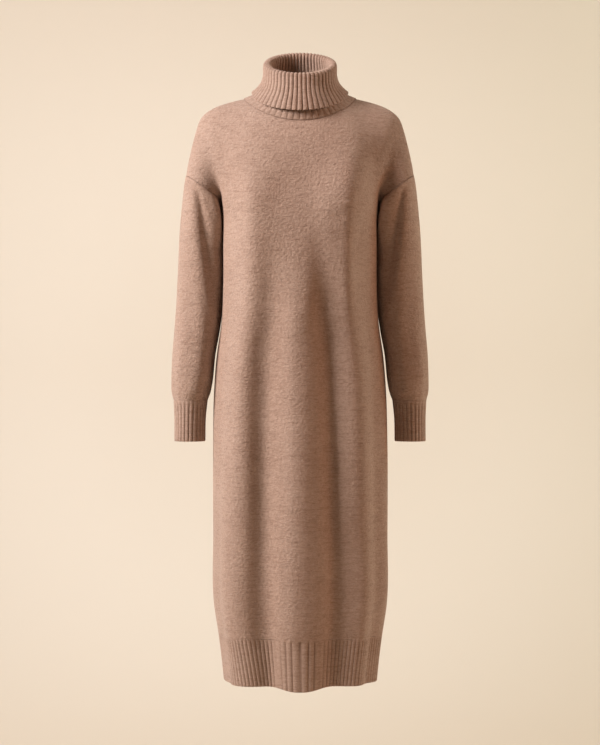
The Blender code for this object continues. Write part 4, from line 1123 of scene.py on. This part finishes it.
def link_places(points, normals, lift):
    """Places a stitch apart along a line, with the way along it and the way out of the cloth."""
    walked = np.concatenate(((0.0,), np.cumsum(np.linalg.norm(np.diff(points, axis=0), axis=1))))
    count = round(walked[-1] / LINK_PITCH)
    stops = (np.arange(count) + 0.5) * walked[-1] / count
    place = np.stack([np.interp(stops, walked, column) for column in points.T], axis=1)
    out = unit(np.stack([np.interp(stops, walked, column) for column in normals.T], axis=1))
    return place + out * lift, unit(np.gradient(place, axis=0)), out


turns = np.linspace(0, 2 * math.pi, ARMHOLE_POINTS)
armhole = [
    np.array([armhole_point(turn) for turn in turns]),
    np.array([armhole_directions(turn)[0] for turn in turns]),
]
shoulder = [grid[0, -SHOULDER_STEPS - 1 :] for grid in panels[0]]
side_seam = [grid[ARMHOLE_ROWS:, -1] for grid in panels[0]]
seams = []
for points, normals in (armhole, shoulder, side_seam):
    for _, mirror in SIDES:
        seams.append(link_places(points * mirror, normals * mirror, -LINK_SUNK))
neck_points, neck_normals = (np.vstack((part, part[:1])) for part in neck_seam())
seams.append(link_places(neck_points, neck_normals, NECK_LINK_LIFT))
places, along, out = (np.concatenate(part) for part in zip(*seams))
line = bpy.data.meshes.new("linked_seams")
line.from_pydata(places.tolist(), [], [])
leave_values(line, along=along, out=out)
linking = bpy.data.objects.new("linked_seams", line)
bpy.context.collection.objects.link(linking)

strand_wool = new_material("strand_wool", **WOOL)
tree = strand_wool.node_tree
place = add_node(tree, "ShaderNodeTexCoord").outputs["Object"]
mottled = add_node(tree, "ShaderNodeTexNoise", Vector=place, Scale=STRAND_MOTTLING).outputs[0]
shade = add_node(tree, "ShaderNodeMix", COLOUR_MIX, Factor=mottled)
wire(shade, _6=(*HEATHER_DARK_AND_PAINTED_SHADE, 1.0), _7=(*HEATHER_PALE, 1.0))
bump = add_node(tree, "ShaderNodeBump", Height=mottled, Distance=STRAND_GRAIN)
wire(tree.nodes["Principled BSDF"], Base_Color=shade.outputs[2], Normal=bump.outputs[0])
apply_nodes(linking, linking_nodes(), Pitch=LINK_PITCH, Span=LINK_SPAN, Yarn=LINK_YARN, Material=strand_wool)
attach(linking, "root")
